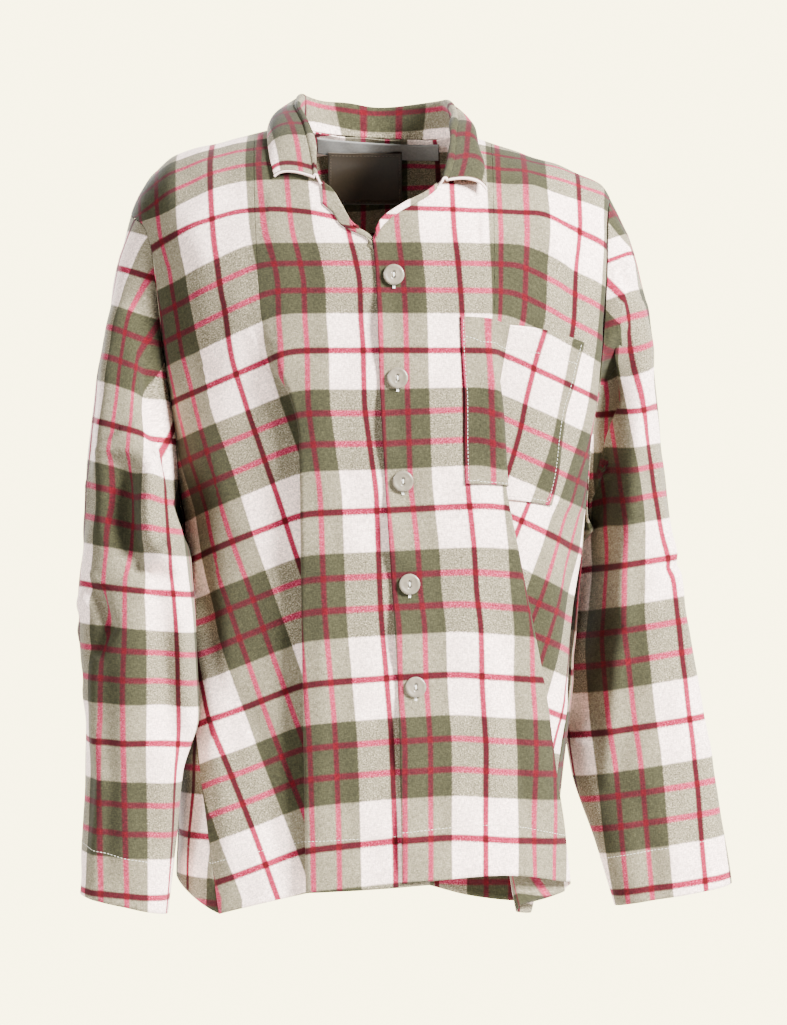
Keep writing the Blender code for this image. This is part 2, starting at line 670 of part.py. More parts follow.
def neck_seam(along):
    """Points along the neck seam under the collar: up the right front, round the back, down the left front."""
    right = np.linspace(COLLAR_ENDS["left"], -0.0749, 30)
    round_back = 0.0749 * np.sin(np.linspace(-np.pi / 2, np.pi / 2, 60))
    left = np.linspace(0.0749, COLLAR_ENDS["right"], 30)
    parts = []
    edges = neckline("left", right), back_neckline(round_back), neckline("right", left)
    for x, edge, turned in zip((right, round_back, left), edges, (0, np.pi, 0)):
        height = np.minimum(edge, ridge(x) - 1e-5)
        turn = turn_at(x, height)
        parts.append(body_point(turned - turn if turned else turn, height, 0.0))
    line = np.concatenate(parts)
    length = np.concatenate([[0], np.cumsum(np.linalg.norm(np.diff(line, axis=0), axis=1))])
    return np.stack([np.interp(along * length[-1], length, line[:, i]) for i in range(3)], axis=-1)


def collar_point(along, across):
    """A point of the collar: across runs up the stand, round the roll and down the fall to its edge."""
    base = neck_seam(along)
    base, out = roof(base[..., 0], base[..., 1])
    base = base + out * COLLAR_SEAT
    roll = np.stack([read(COLLAR, "along", name, along) for name in ("roll_x", "roll_y", "roll_z")], axis=-1)
    edge, out = roof(read(COLLAR, "along", "edge_x", along), read(COLLAR, "along", "edge_y", along))
    edge = edge + out * read(COLLAR, "along", "lift", along)[..., None]
    level = (edge - roll) * (1, 1, 0)
    level /= np.linalg.norm(level, axis=-1, keepdims=True)
    up = np.array([0.0, 0.0, 1.0])
    radius = (ROLL_RADIUS * (0.55 + 0.45 * np.sin(np.pi * along) ** 0.5))[..., None]
    stand = np.clip(across / STAND_SHARE, 0, 1)[..., None]
    bend = np.pi * np.clip((across - STAND_SHARE) / (ROLL_SHARE - STAND_SHARE), 0, 1)[..., None]
    fall = np.clip((across - ROLL_SHARE) / (1 - ROLL_SHARE), 0, 1)[..., None]
    top = roll - up * radius
    on_roll = top + radius * (level * (1 - np.cos(bend)) + up * np.sin(bend))
    start = top + 2 * radius * level
    bow = COLLAR_BOW * 4 * fall * (1 - fall) * (0.7 * up + 0.7 * level)
    on_fall = start + (edge - start) * fall + bow
    on_stand = base + (top - base) * stand
    across = across[..., None]
    return np.where(across <= STAND_SHARE, on_stand, np.where(across < ROLL_SHARE, on_roll, on_fall))


def build_collar(collection):
    along, across = np.meshgrid(np.linspace(0, 1, COLLAR_SECTIONS), COLLAR_ROWS)
    grid = collar_point(along, across)
    add_piece(collection, "collar", mesh_from_grid("collar", grid, flip=True), OLIVE, 0.9, COLLAR_WALL)


def inside_back(x, height, inset):
    """Points on the inner side of the back near the neck, this far in from the cloth's middle."""
    grid = body_point(np.pi - turn_at(x, height), height, 0.0)
    middle, out = roof(grid[..., 0], grid[..., 1])
    return middle - out * inset


def build_neck_tape(collection):
    x, share = np.meshgrid(np.linspace(-1, 1, 13) * NECK_TAPE.half_width, (0.0, 0.5, 1.0))
    drop = NECK_TAPE.from_seam + (NECK_TAPE.to_seam - NECK_TAPE.from_seam) * share
    grid = inside_back(x, back_neckline(x) - drop, NECK_TAPE.inset)
    add_piece(collection, "neck_tape", mesh_from_grid("neck_tape", grid), OLIVE, 0.9, TRIM)


def build_label(collection):
    x, height = np.meshgrid(np.linspace(LABEL.left, LABEL.right, 6), np.linspace(LABEL.top, LABEL.bottom, 5))
    grid = inside_back(x, height, LABEL.inset)
    add_piece(collection, "label", mesh_from_grid("label", grid), SATIN_BROWN, 0.45, TRIM)


def build_facing(collection, side, name):
    """The part of a front facing that rolls out over the neckline: the front's own points, moved out."""
    grid, height = front_grid(side)
    rows = FACINGS[side]
    index, neck = np.arange(len(height), dtype=float), slice(0, len(NECK_COLUMNS))
    sign = -1 if side == "left" else 1
    x = np.linspace(rows[0].x, rows[-1].x, FACING_COLUMNS)
    column = np.interp(sign * x, sign * grid[0, neck, 0], np.arange(len(NECK_COLUMNS)))
    down = between(height, index[:, None], column[None, :])
    depth = read(rows, "x", "depth", x)
    last = np.array([np.interp(depth[i], down[0, i] - down[:, i], index) for i in range(len(x))])
    first = -FACING_PROUD / (down[0] - down[1])
    row = first + np.linspace(0, 1, 3)[:, None] * (last - first)
    points = between(moved_out(grid, FACING_LAYER), row, np.broadcast_to(column, row.shape))
    add_piece(collection, name, mesh_from_grid(name, points, flip=True), CREAM, 0.9, TRIM)


# ---------------------------------------------------------------- pocket
def pocket_side(name, height):
    """Share across the left front at which one side of the pocket lies, at this height."""
    first, crest, start, stop, last = fold_turns("right", height)
    turn = turn_at(read(POCKET_SIDES, "height", name, height), height)
    if name == "left":
        return FOLD_FROM * (turn - first) / (crest + start - first)
    return FOLD_TO + (1 - FOLD_TO) * (turn - crest - stop) / (last - crest - stop)


def build_pocket(collection):
    """The breast pocket: the left front's own points, across its deep fold, moved out."""
    grid, height = front_grid("right")
    middle = height[:, len(FRONT_COLUMNS) // 2]
    left = np.interp(pocket_side("left", middle), FRONT_COLUMNS, np.arange(len(FRONT_COLUMNS)))
    right = np.interp(pocket_side("right", middle), FRONT_COLUMNS, np.arange(len(FRONT_COLUMNS)))
    inner = np.arange(int(left.max()) + 1, int(right.min()) + 1)
    columns = np.concatenate([left[:, None], np.tile(inner, (len(middle), 1)), right[:, None]], axis=1)
    shares = np.concatenate([[0], np.interp(FRONT_COLUMNS[inner], *POCKET_SHARES), [1]])
    index = np.arange(len(middle), dtype=float)
    ends = []
    for name in ("top", "bottom"):
        edge = read(POCKET, "share", name, shares)
        down = [between(height, index, columns[:, i]) for i in range(len(shares))]
        ends.append(np.array([np.interp(-edge[i], -down[i], index) for i in range(len(shares))]))
    rows = np.arange(int(ends[0].max()) + 1, int(np.ceil(ends[1].min())))
    rows = np.concatenate([ends[0][None, :], np.tile(rows[:, None], (1, len(shares))), ends[1][None, :]])
    column = np.stack([np.interp(rows[:, i], index, columns[:, i]) for i in range(len(shares))], axis=1)
    points = between(moved_out(grid, LAYER), rows, column)
    add_piece(collection, "pocket", mesh_from_grid("pocket", points, flip=True), OLIVE, 0.9, TRIM)


# ---------------------------------------------------------------- buttons
BUTTON_PROFILE = (  # distance from the axis and height, in button radii and thicknesses, from the top down
    (0.00, 0.62),
    (0.60, 0.62),
    (0.74, 1.00),
    (0.92, 1.00),
    (1.00, 0.75),
    (1.00, 0.25),
    (0.92, 0.00),
    (0.00, 0.00),
)


def button_mesh(collection):
    """A turned disc with a raised rim and two thread holes."""
    outline = bpy.data.meshes.new("button_outline")
    points = [(r * BUTTON_RADIUS, 0, h * BUTTON_THICKNESS) for r, h in BUTTON_PROFILE]
    outline.from_pydata(points, [(i, i + 1) for i in range(len(points) - 1)], [])
    blank = bpy.data.objects.new("button_blank", outline)
    collection.objects.link(blank)
    turn = blank.modifiers.new("Turn", "SCREW")
    turn.steps = turn.render_steps = 20
    turn.use_merge_vertices = True
    turn.merge_threshold = 1e-5
    helpers = [blank]
    for place in (-0.5, 0.5):
        bpy.ops.mesh.primitive_cylinder_add(
            vertices=6,
            radius=BUTTON_HOLE,
            depth=4 * BUTTON_THICKNESS,
            location=(0, place * BUTTON_HOLE_SPACING, BUTTON_THICKNESS / 2),
        )
        drill = bpy.context.active_object
        drill.hide_render, drill.display_type = True, "WIRE"
        hole = blank.modifiers.new("Hole", "BOOLEAN")
        hole.object = drill
        helpers.append(drill)
    bpy.context.view_layer.update()
    made = bpy.data.meshes.new_from_object(blank.evaluated_get(bpy.context.evaluated_depsgraph_get()))
    made.name = "button"
    for helper in helpers:
        bpy.data.objects.remove(helper)
    return made


def front_at(x, height):
    """The point of the front's plain section at this x and height."""
    return body_point(turn_at(x, height), height, 0.0)[0]


def build_buttons(collection):
    mesh = button_mesh(collection)
    mesh.materials.clear()
    mesh.materials.append(material("button", SHELL_GREY, 0.3))
    mesh.shade_smooth()
    mesh.set_sharp_from_angle(angle=0.6)
    for number in range(BUTTON_COUNT):
        height = np.array([FIRST_BUTTON - number * BUTTON_PITCH])
        x = read(CLOSING_EDGE, "height", "x", height) + BUTTON_INSET
        around = front_at(x + BUTTON_RADIUS, height) - front_at(x - BUTTON_RADIUS, height)
        down = front_at(x, height - BUTTON_RADIUS) - front_at(x, height + BUTTON_RADIUS)
        out = Vector(np.cross(down, around)).normalized()
        seat = Vector(front_at(x, height)) + out * (CLOTH / 2 + 2 * GAP)
        button = bpy.data.objects.new(f"button_{number + 1}", mesh)
        side = Vector(around).normalized()
        up = out.cross(side)
        button.matrix_world = Matrix.Translation(seat) @ Matrix((side, up, out)).transposed().to_4x4()
        collection.objects.link(button)


def build():
    for old in list(bpy.data.objects):
        bpy.data.objects.remove(old)
    garment = bpy.data.collections.new("pajama_top")
    bpy.context.scene.collection.children.link(garment)
    build_fronts(garment)
    build_back(garment)
    build_sleeve(garment, "left", "sleeve_right")
    build_sleeve(garment, "right", "sleeve_left")
    build_collar(garment)
    build_neck_tape(garment)
    build_label(garment)
    build_facing(garment, "left", "facing_right")
    build_facing(garment, "right", "facing_left")
    build_pocket(garment)
    build_buttons(garment)


build()
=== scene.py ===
"""Looks of the long-sleeved pajama top: flannel with its folds, trims, stitching, light and camera."""

import logging
import math
from collections.abc import Callable
from dataclasses import dataclass, field
from enum import Enum

import bmesh
import bpy
import numpy as np
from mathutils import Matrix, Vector
from numpy.typing import NDArray


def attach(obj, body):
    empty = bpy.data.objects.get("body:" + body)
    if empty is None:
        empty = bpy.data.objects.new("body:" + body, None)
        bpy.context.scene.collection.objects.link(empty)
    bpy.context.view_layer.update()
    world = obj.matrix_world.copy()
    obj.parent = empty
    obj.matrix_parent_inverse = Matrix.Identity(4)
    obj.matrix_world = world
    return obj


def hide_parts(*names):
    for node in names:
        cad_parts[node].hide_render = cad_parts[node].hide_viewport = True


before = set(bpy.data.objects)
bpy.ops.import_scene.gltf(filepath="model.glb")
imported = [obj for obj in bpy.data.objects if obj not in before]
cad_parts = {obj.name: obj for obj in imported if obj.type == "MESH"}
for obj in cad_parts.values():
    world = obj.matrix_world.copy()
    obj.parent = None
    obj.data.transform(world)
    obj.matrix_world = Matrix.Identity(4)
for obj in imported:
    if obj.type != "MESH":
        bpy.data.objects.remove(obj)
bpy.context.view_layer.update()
LOG = logging.getLogger("pajama_top")
Array = NDArray[np.float64]
Faces = NDArray[np.int64]
Colour = tuple[float, float, float]

# ---------------------------------------------------------------- sizes that several pieces share
WALL = 0.0012  # thickness of one layer of flannel
THIN_WALL = 0.0011  # and of the facings and the pocket, which lie on another layer
FULLNESS = 0.12  # how much a body section is squarer than an ellipse
CROWN = 0.12  # drop over which the shoulders round over to the front and the back
UNDERARM = -0.345  # height at which the armholes end and the side seams begin
BEND_LENGTH = 0.011  # length of cloth in one bend of a deep fold
BEND_SHARE = 0.4  # share of the deep fold that each of its two bends takes
ARC_RADIUS = 0.165  # radius by which the fold's lengths become turns round the body
FOLD_FROM, FOLD_TO = 0.30, 0.70  # shares across a front at which its deep fold starts and ends
FOLD_HIDDEN = (0.305, 0.36, 0.66, 0.76)  # shares between which creases fade out, and in again behind the fold
FOLD_LIFT = 0.004  # how far the crest of the deep fold stands off the plain section
UNDERLAP = 0.030  # how far the right front passes under the left one
UNDERLAP_DROP = 0.0027  # and how far below it
CROWDING = 1.7  # power by which a body piece's rows crowd towards the shoulders
WARP_REPEAT = 0.125  # width of one repeat of the check
WEFT_REPEAT = 0.150  # and its height
TWILL_PITCH = 0.0011
HEM_DEPTH = 0.047  # from the hem up to its stitching


class Side(Enum):
    """The wearer's side that a piece belongs to, by the sign of its x."""

    RIGHT = -1
    LEFT = 1


# ---------------------------------------------------------------- curves through short tables
def through(places: Array, values: Array, where: Array) -> Array:
    """Smooth curve through rows: cubic pieces whose slopes never overshoot the rows they join.

    Args:
        places: the rows' places, rising or falling.
        values: the value at each row.
        where: where the curve is wanted; outside the rows it keeps the end value.

    Returns:
        The curve's values.
    """
    if places[0] > places[-1]:
        places, values = places[::-1], values[::-1]
    step = np.diff(places)
    rise = np.diff(values) / step
    slope = np.zeros_like(values)
    same_way = rise[:-1] * rise[1:] > 0
    total = np.where(same_way, rise[:-1] + rise[1:], 1.0)
    slope[1:-1] = np.where(same_way, 2 * rise[:-1] * rise[1:] / total, 0.0)
    slope[0], slope[-1] = rise[0], rise[-1]
    where = np.clip(where, places[0], places[-1])
    k = np.clip(np.searchsorted(places, where, side="right") - 1, 0, len(step) - 1)
    t = (where - places[k]) / step[k]
    return (
        (2 * t**3 - 3 * t**2 + 1) * values[k]
        + (t**3 - 2 * t**2 + t) * step[k] * slope[k]
        + (3 * t**2 - 2 * t**3) * values[k + 1]
        + (t**3 - t**2) * step[k] * slope[k + 1]
    )


@dataclass(frozen=True)
class Table:
    """A short table of sizes with named columns; the first column is the one it is read by."""

    names: str
    rows: tuple[tuple[float, ...], ...]

    def column(self, name: str) -> Array:
        """The values of one column."""
        return np.array([row[self.names.split().index(name)] for row in self.rows], float)

    def read(self, name: str, where: Array | float) -> Array:
        """The column called name as a smooth function of the first column."""
        return through(self.column(self.names.split()[0]), self.column(name), np.asarray(where, float))


def ease(value: Array, start: float, stop: float) -> Array:
    """0 before start, 1 after stop, and the smooth step 3t^2 - 2t^3 between."""
    t = np.clip((value - start) / (stop - start), 0, 1)
    return t * t * (3 - 2 * t)


def unit(vectors: Array) -> Array:
    """The vectors scaled to length one."""
    return vectors / np.maximum(np.linalg.norm(vectors, axis=-1, keepdims=True), 1e-9)


def lengths_along(points: Array, axis: int = 0) -> Array:
    """Length along a line of points, or each line of a grid: 0, then the growing sum of the chords."""
    chords = np.linalg.norm(np.diff(points, axis=axis), axis=-1)
    return np.insert(np.cumsum(chords, axis=axis), 0, 0.0, axis=axis)


def at_lengths(line: Array, length: Array, where: Array) -> Array:
    """Points of a line at the lengths where, straight between its own points, which lie at length."""
    return np.stack([np.interp(where, length, line[:, i]) for i in range(3)], axis=-1)


# ---------------------------------------------------------------- creases, given one by one
@dataclass(frozen=True)
class Crease:
    """A soft ridge (rise above 0) or trough along a line seen from the front, fading towards its ends."""

    line: tuple[tuple[float, float], ...]
    rise: float
    width: float
    sharp: bool = False

    def lift(self, x: Array, z: Array) -> Array:
        """Height of the crease: rise times a bell (or, if sharp, a tent) of the distance to the line.

        Args:
            x: sideways places of the cloth's points.
            z: their heights.

        Returns:
            How far each point moves out of the cloth.
        """
        ends = np.array(self.line)
        lengths = np.linalg.norm(np.diff(ends, axis=0), axis=1)
        starts = lengths_along(ends)
        nearest, place = np.full(x.shape, 9.0), np.zeros(x.shape)
        for (ax, az), (bx, bz), length, start in zip(ends[:-1], ends[1:], lengths, starts):
            t = np.clip(((x - ax) * (bx - ax) + (z - az) * (bz - az)) / length**2, 0, 1)
            away = np.hypot(x - ax - t * (bx - ax), z - az - t * (bz - az))
            closer = away < nearest
            nearest, place = np.where(closer, away, nearest), np.where(closer, start + t * length, place)
        share = place / starts[-1]
        fade = np.sqrt(np.clip(4 * share * (1 - share), 0.0, 1.0)) * 0.85 + 0.15
        ratio = nearest / self.width
        profile = np.exp(-ratio * 1.6) if self.sharp else np.exp(-(ratio**2))
        return self.rise * profile * fade


def relief(creases: tuple[Crease, ...], x: Array, z: Array) -> Array:
    """Sum of all the creases' heights.

    Args:
        creases: the creases.
        x: sideways places of the cloth's points.
        z: their heights.

    Returns:
        How far each point moves out of the cloth.
    """
    total = np.zeros(x.shape)
    for crease in creases:
        total = total + crease.lift(x, z)
    return total


def slack(x: Array, z: Array, size: float) -> Array:
    """Slight unevenness of hanging cloth: three slanting sine waves whose phases drift with slower ones.

    Args:
        x: sideways places of the cloth's points.
        z: their heights.
        size: about the greatest rise.

    Returns:
        How far each point moves out of the cloth.
    """
    upright = np.sin(150 * x + 18 * z + 2.2 * np.sin(21 * z + 1.0))
    slanting = np.sin(90 * x - 40 * z + 1.7 * np.sin(33 * x + 12 * z))
    level = np.sin(55 * x + 85 * z + 1.5 * np.sin(40 * z - 25 * x))
    return size * (0.45 * upright + 0.35 * slanting + 0.30 * level)


# ---------------------------------------------------------------- cloth as a grid of points
@dataclass
class Cloth:
    """A sheet as a grid of points, rows running down and columns across, with its place in the weave.

    facing is 1 where across x down points to the sheet's good side and -1 where it points to the wrong one.
    loop is True for a tube, whose last column lies on its first.
    """

    grid: Array
    weave: Array
    facing: int
    loop: bool = False

    def normals(self) -> Array:
        """Unit normals on the good side: cross product of the step across and the step down, times facing."""
        if self.loop:
            across = np.roll(self.grid[:, :-1], -1, axis=1) - np.roll(self.grid[:, :-1], 1, axis=1)
            across = np.concatenate([across, across[:, :1]], axis=1)
        else:
            across = np.gradient(self.grid, axis=1)
        return unit(np.cross(across, np.gradient(self.grid, axis=0))) * self.facing

    def object(self, name: str, wall: float) -> bpy.types.Object:
        """Makes the sheet's mesh, with a wall centred on it.

        Args:
            name: the piece's name.
            wall: its thickness.

        Returns:
            The new object, linked to the scene.
        """
        rows, columns = self.grid.shape[:2]
        places = np.arange(rows * columns).reshape(rows, columns)
        index = places.copy()
        if self.loop:
            index[:, -1] = index[:, 0]
        corners, mapped = (
            np.stack([of[:-1, :-1], of[1:, :-1], of[1:, 1:], of[:-1, 1:]], axis=-1)[..., :: -self.facing]
            for of in (index, places)
        )
        made = surface_object(name, self.grid.reshape(-1, 3), corners.reshape(-1, 4))
        layer = made.data.uv_layers.new(name="weave")
        layer.data.foreach_set("uv", self.weave.reshape(-1, 2)[mapped.ravel()].astype(np.float32).ravel())
        if self.loop:
            drop_loose(made.data)
        shell = made.modifiers.new("Wall", "SOLIDIFY")
        shell.thickness = wall
        shell.offset = 0
        shell.use_even_offset = False
        return made


def drop_loose(mesh: bpy.types.Mesh) -> None:
    """Removes the points of a closed grid's doubled last column, which no face uses.

    Args:
        mesh: the mesh that is changed.
    """
    used = np.zeros(len(mesh.vertices), bool)
    corners = np.empty(len(mesh.loops), np.int32)
    mesh.loops.foreach_get("vertex_index", corners)
    used[corners] = True
    shape = bmesh.new()
    shape.from_mesh(mesh)
    shape.verts.ensure_lookup_table()
    bmesh.ops.delete(shape, geom=[shape.verts[i] for i in np.flatnonzero(~used)], context="VERTS")
    shape.to_mesh(mesh)
    shape.free()


def surface_object(name: str, points: Array, faces: Faces) -> bpy.types.Object:
    """A smooth-shaded mesh object at the origin.

    Args:
        name: its name.
        points: the points.
        faces: the four corners of each face, as places in points.

    Returns:
        The new object, linked to the scene.
    """
    mesh = bpy.data.meshes.new(name)
    mesh.vertices.add(len(points))
    mesh.vertices.foreach_set("co", points.astype(np.float32).ravel())
    mesh.loops.add(faces.size)
    mesh.loops.foreach_set("vertex_index", faces.astype(np.int32).ravel())
    mesh.polygons.add(len(faces))
    mesh.polygons.foreach_set("loop_start", np.arange(0, faces.size, faces.shape[1], dtype=np.int32))
    mesh.update(calc_edges=True)
    mesh.validate()
    mesh.shade_smooth()
    made = bpy.data.objects.new(name, mesh)
    bpy.context.scene.collection.objects.link(made)
    return made


def ring_faces(rings: int, sides: int) -> Faces:
    """Four-cornered faces between neighbouring rings of equally many points.

    Args:
        rings: number of rings.
        sides: points in a ring.

    Returns:
        The faces.
    """
    index = np.arange(rings * sides).reshape(rings, sides)
    after = np.roll(index, -1, axis=1)
    return np.stack([index[:-1], index[1:], after[1:], after[:-1]], axis=-1).reshape(-1, 4)


def weld(mesh: bpy.types.Mesh, distance: float) -> None:
    """Merges close points, so that poles are closed, and turns the faces outwards.

    Args:
        mesh: the mesh that is changed.
        distance: how close the points are.
    """
    shape = bmesh.new()
    shape.from_mesh(mesh)
    bmesh.ops.remove_doubles(shape, verts=shape.verts, dist=distance)
    bmesh.ops.recalc_face_normals(shape, faces=shape.faces)
    shape.to_mesh(mesh)
    shape.free()
    mesh.shade_smooth()


def between(grid: Array, row: Array, column: Array) -> Array:
    """Bilinear mix of the four grid points round each fractional row and column.

    Args:
        grid: one value or one point for each whole row and column.
        row: fractional rows.
        column: fractional columns, of the same shape.

    Returns:
        The mixed values or points.
    """
    r = np.clip(np.floor(row).astype(int), 0, grid.shape[0] - 2)
    c = np.clip(np.floor(column).astype(int), 0, grid.shape[1] - 2)
    u, v = row - r, column - c
    if grid.ndim == 3:
        u, v = u[..., None], v[..., None]
    upper = grid[r, c] * (1 - v) + grid[r, c + 1] * v
    lower = grid[r + 1, c] * (1 - v) + grid[r + 1, c + 1] * v
    return upper * (1 - u) + lower * u


# ---------------------------------------------------------------- the body's sections
@dataclass(frozen=True)
class Body:
    """The filled-out form: horizontal sections, squarer than ellipses, under a ridge along the shoulders."""

    levels: Table = Table("height right left front back", (
        (+0.06, 0.25, 0.25, 0.116, 0.11), (-0.05, 0.243, 0.235, 0.12, 0.112),
        (-0.12, 0.221, 0.226, 0.125, 0.116), (-0.21, 0.206, 0.218, 0.126, 0.116),
        (-0.28, 0.195, 0.206, 0.123, 0.11), (-0.345, 0.188, 0.196, 0.12, 0.105),
        (-0.43, 0.19, 0.19, 0.118, 0.102), (-0.55, 0.187, 0.186, 0.119, 0.104),
        (-0.73, 0.188, 0.185, 0.122, 0.108),
    ))
    shoulder_ridge: Table = Table("x height", (
        (-0.25, -0.11), (-0.2335, -0.06), (-0.221, -0.033), (-0.208, -0.0186), (-0.191, -0.005),
        (-0.139, 0.009), (-0.075, 0.025), (0.0, 0.041), (0.075, 0.017), (0.093, 0.0105), (0.14, -0.005),
        (0.18, -0.0186), (0.21, -0.033), (0.219, -0.045), (0.25, -0.11),
    ))
    turns: Array = field(default_factory=lambda: np.linspace(0, np.pi / 2, 181))

    def sines(self) -> Array:
        """Share of the half width reached at each turn: sine, made fuller between the axes."""
        return np.sin(self.turns) * (1 + FULLNESS * np.cos(self.turns) ** 2)

    def ridge(self, x: Array) -> Array:
        """Height of the shoulders' ridge."""
        return self.shoulder_ridge.read("height", x)

    def size(self, first: Array, name: str, other: str, height: Array) -> Array:
        """Half size of the section: the column called name where first holds, the other one elsewhere."""
        return np.where(first, self.levels.read(name, height), self.levels.read(other, height))

    def turn_at(self, x: Array, height: Array) -> Array:
        """The turn from straight ahead at which the front section has this x."""
        reach = self.size(x < 0, "right", "left", height)
        return np.sign(x) * np.interp(np.abs(x) / reach, self.sines(), self.turns)

    def point(self, turn: Array, height: Array, shift: Array | float) -> Array:
        """A point of the cloth.

        Args:
            turn: 0 at the front, 90 degrees at +X.
            height: its height.
            shift: how far it lies outside the plain section.

        Returns:
            x, y and z, where x and y follow the squared ellipse and y shrinks over the shoulders.
        """
        sine, cosine = np.sin(turn), np.cos(turn)
        reach = self.size(sine < 0, "right", "left", height)
        deep = self.size(cosine > 0, "front", "back", height)
        x = reach * sine * (1 + FULLNESS * cosine**2)
        drop = np.clip((self.ridge(x) - height) / CROWN, 0, 1)
        y = -deep * cosine * (1 + FULLNESS * sine**2) * np.sqrt(1 - (1 - drop) ** 2)
        out = unit(np.stack([sine * deep, -cosine * reach], axis=-1))
        return np.stack([x + shift * out[..., 0], y + shift * out[..., 1], height + 0 * x], axis=-1)

    def roof(self, x: Array, y: Array) -> tuple[Array, Array]:
        """The shoulders seen as a roof: a quarter ellipse falls from the ridge to the front and to the back.

        Args:
            x: sideways places.
            y: places from front to back.

        Returns:
            The roof's points above those places, and the unit vectors out of the cloth there.
        """
        turn = self.turn_at(x, np.zeros_like(x))
        deep = self.size(y < 0, "front", "back", 0 * x) * np.cos(turn) * (1 + FULLNESS * np.sin(turn) ** 2)
        level = np.sqrt(1 - np.clip(y / deep, -1, 1) ** 2)
        step = 0.002
        slope = (self.ridge(x + step) - self.ridge(x - step)) / (2 * step)
        out = unit(np.stack([-slope * level / CROWN, y / deep**2, level / CROWN], axis=-1))
        return np.stack([x, y, self.ridge(x) - CROWN * (1 - level)], axis=-1), out


BODY = Body()
ARMHOLES = Table("height right left", (
    (-0.045, 0.2335, 0.219), (-0.06, 0.2335, 0.2165), (-0.0766, 0.2175, 0.215), (-0.1, 0.21, 0.214),
    (-0.147, 0.205, 0.2115), (-0.217, 0.198, 0.207), (-0.285, 0.189, 0.1985), (UNDERARM, 0.188, 0.196),
))
SHOULDER_TIPS = {Side.RIGHT: -0.0600, Side.LEFT: -0.0450}
SIDE_SEAMS = {
    Side.RIGHT: Table("height turned shift", (
        (UNDERARM, 90, 0.0), (-0.39, 78, 0.0), (-0.5, 64, 0.002), (-0.6, 55, 0.004), (-0.72, 45, 0.006),
    )),
    Side.LEFT: Table("height turned shift", (
        (UNDERARM, 90, 0.0), (-0.39, 85, 0.0), (-0.5, 79, -0.003), (-0.6, 72, -0.013), (-0.72, 67, -0.028),
    )),
}
CLOSING_EDGE = Table("height x", (
    (-0.06, -0.0055), (-0.096, -0.004), (-0.13, -0.0012), (-0.24, 0.0028), (-0.35, 0.0091), (-0.52, 0.0192),
    (-0.72, 0.0232),
))
BACK_NECKLINE = Table("x height", (
    (-0.075, 0.025), (-0.0687, 0.0222), (0.0, 0.018), (0.0687, 0.0146), (0.075, 0.017),
))
# which weft, counted in repeats down from a dark-red one, lies at each height
WEFT_LEVELS = Table("height repeats", (
    (0.0, -1.51), (-0.12, -0.57), (-0.196, 0.0), (-0.268, 0.5), (-0.342, 1.0), (-0.417, 1.5), (-0.495, 2.0),
    (-0.568, 2.5), (-0.644, 3.0), (-0.72, 3.5),
))
SHOULDER_LEVEL = -0.120  # above it, wefts are counted along the cloth, which leans back
SHOULDER_SPREAD = 1.18  # and a length there counts this many times


def side_turn(side: Side, height: Array) -> Array:
    """How far round from straight ahead the armhole and, below it, the side seam lies.

    Args:
        side: the wearer's side.
        height: heights along them.

    Returns:
        Turns, counted outwards.
    """
    name = side.name.lower()
    share = ARMHOLES.read(name, height) / BODY.levels.read(name, height)
    armhole = np.interp(share, BODY.sines(), BODY.turns)
    seam = np.radians(SIDE_SEAMS[side].read("turned", height))
    return np.where(height > UNDERARM, armhole, seam)


def side_shift(side: Side, height: Array) -> Array:
    """How far the side seam lies outside the plain section, nothing above the underarm."""
    return np.where(height > UNDERARM, 0.0, SIDE_SEAMS[side].read("shift", height))


def weft_place(grid: Array, drop: Array) -> Array:
    """Place along the weave of each point: from its height below the shoulders, and along the cloth above.

    Args:
        grid: the piece's points, rows running down.
        drop: how much lower a weft lies at each point than at the closing edge.

    Returns:
        Metres along the warp, counted downwards from a dark-red weft.
    """
    height = grid[..., 2]
    steps = np.linalg.norm(np.diff(grid, axis=0), axis=-1)
    part = (height[:-1] - SHOULDER_LEVEL) / np.maximum(height[:-1] - height[1:], 1e-6)
    above = steps * np.clip(part, 0.0, 1.0)
    climbed = np.concatenate([np.cumsum(above[::-1], axis=0)[::-1], 0 * height[:1]])
    level = np.minimum(height, SHOULDER_LEVEL) + drop
    return WEFT_LEVELS.read("repeats", level) * WEFT_REPEAT - SHOULDER_SPREAD * climbed


def row_shares(tip: float, low: float, rows: tuple[int, int]) -> Array:
    """Where a body piece's rows lie on the way down: crowded towards the shoulders, where the cloth turns.

    Args:
        tip: height of the shoulder tip.
        low: height of the hem.
        rows: numbers of rows down to the underarm and below it.

    Returns:
        Shares of the way from the tip to the hem.
    """
    upper = np.linspace(0, 1, rows[0]) ** CROWDING * (tip - UNDERARM)
    lower = (tip - UNDERARM) + np.linspace(0, 1, rows[1])[1:] * (UNDERARM - low)
    return np.concatenate([upper, lower]) / (tip - low)


def top_heights(
    point: Callable[[Array, Array], Array],
    top_edge: Callable[[Array], Array],
    across: Array,
    ends: tuple[float | None, float | None],
) -> Array:
    """Height at which each column meets its top edge, by halving the step round the first height under it.

    Args:
        point: function of across and height that gives a point.
        top_edge: function of x that gives the edge's height.
        across: the columns' places.
        ends: heights that the first and the last column are given instead, or None.

    Returns:
        One height for each column.
    """
    heights = np.linspace(0.045, -0.120, 331)[:, None] + 0 * across[None, :]
    x = point(np.broadcast_to(across, heights.shape), heights)[..., 0]
    first = np.argmax(heights <= top_edge(x), axis=0)
    low, high = heights[first, 0], heights[first - 1, 0]
    for _ in range(20):
        middle = (low + high) / 2
        under = middle <= top_edge(point(across, middle)[..., 0])
        low, high = np.where(under, middle, low), np.where(under, high, middle)
    for place, height in zip((0, -1), ends):
        if height is not None:
            low[place] = height
    return low


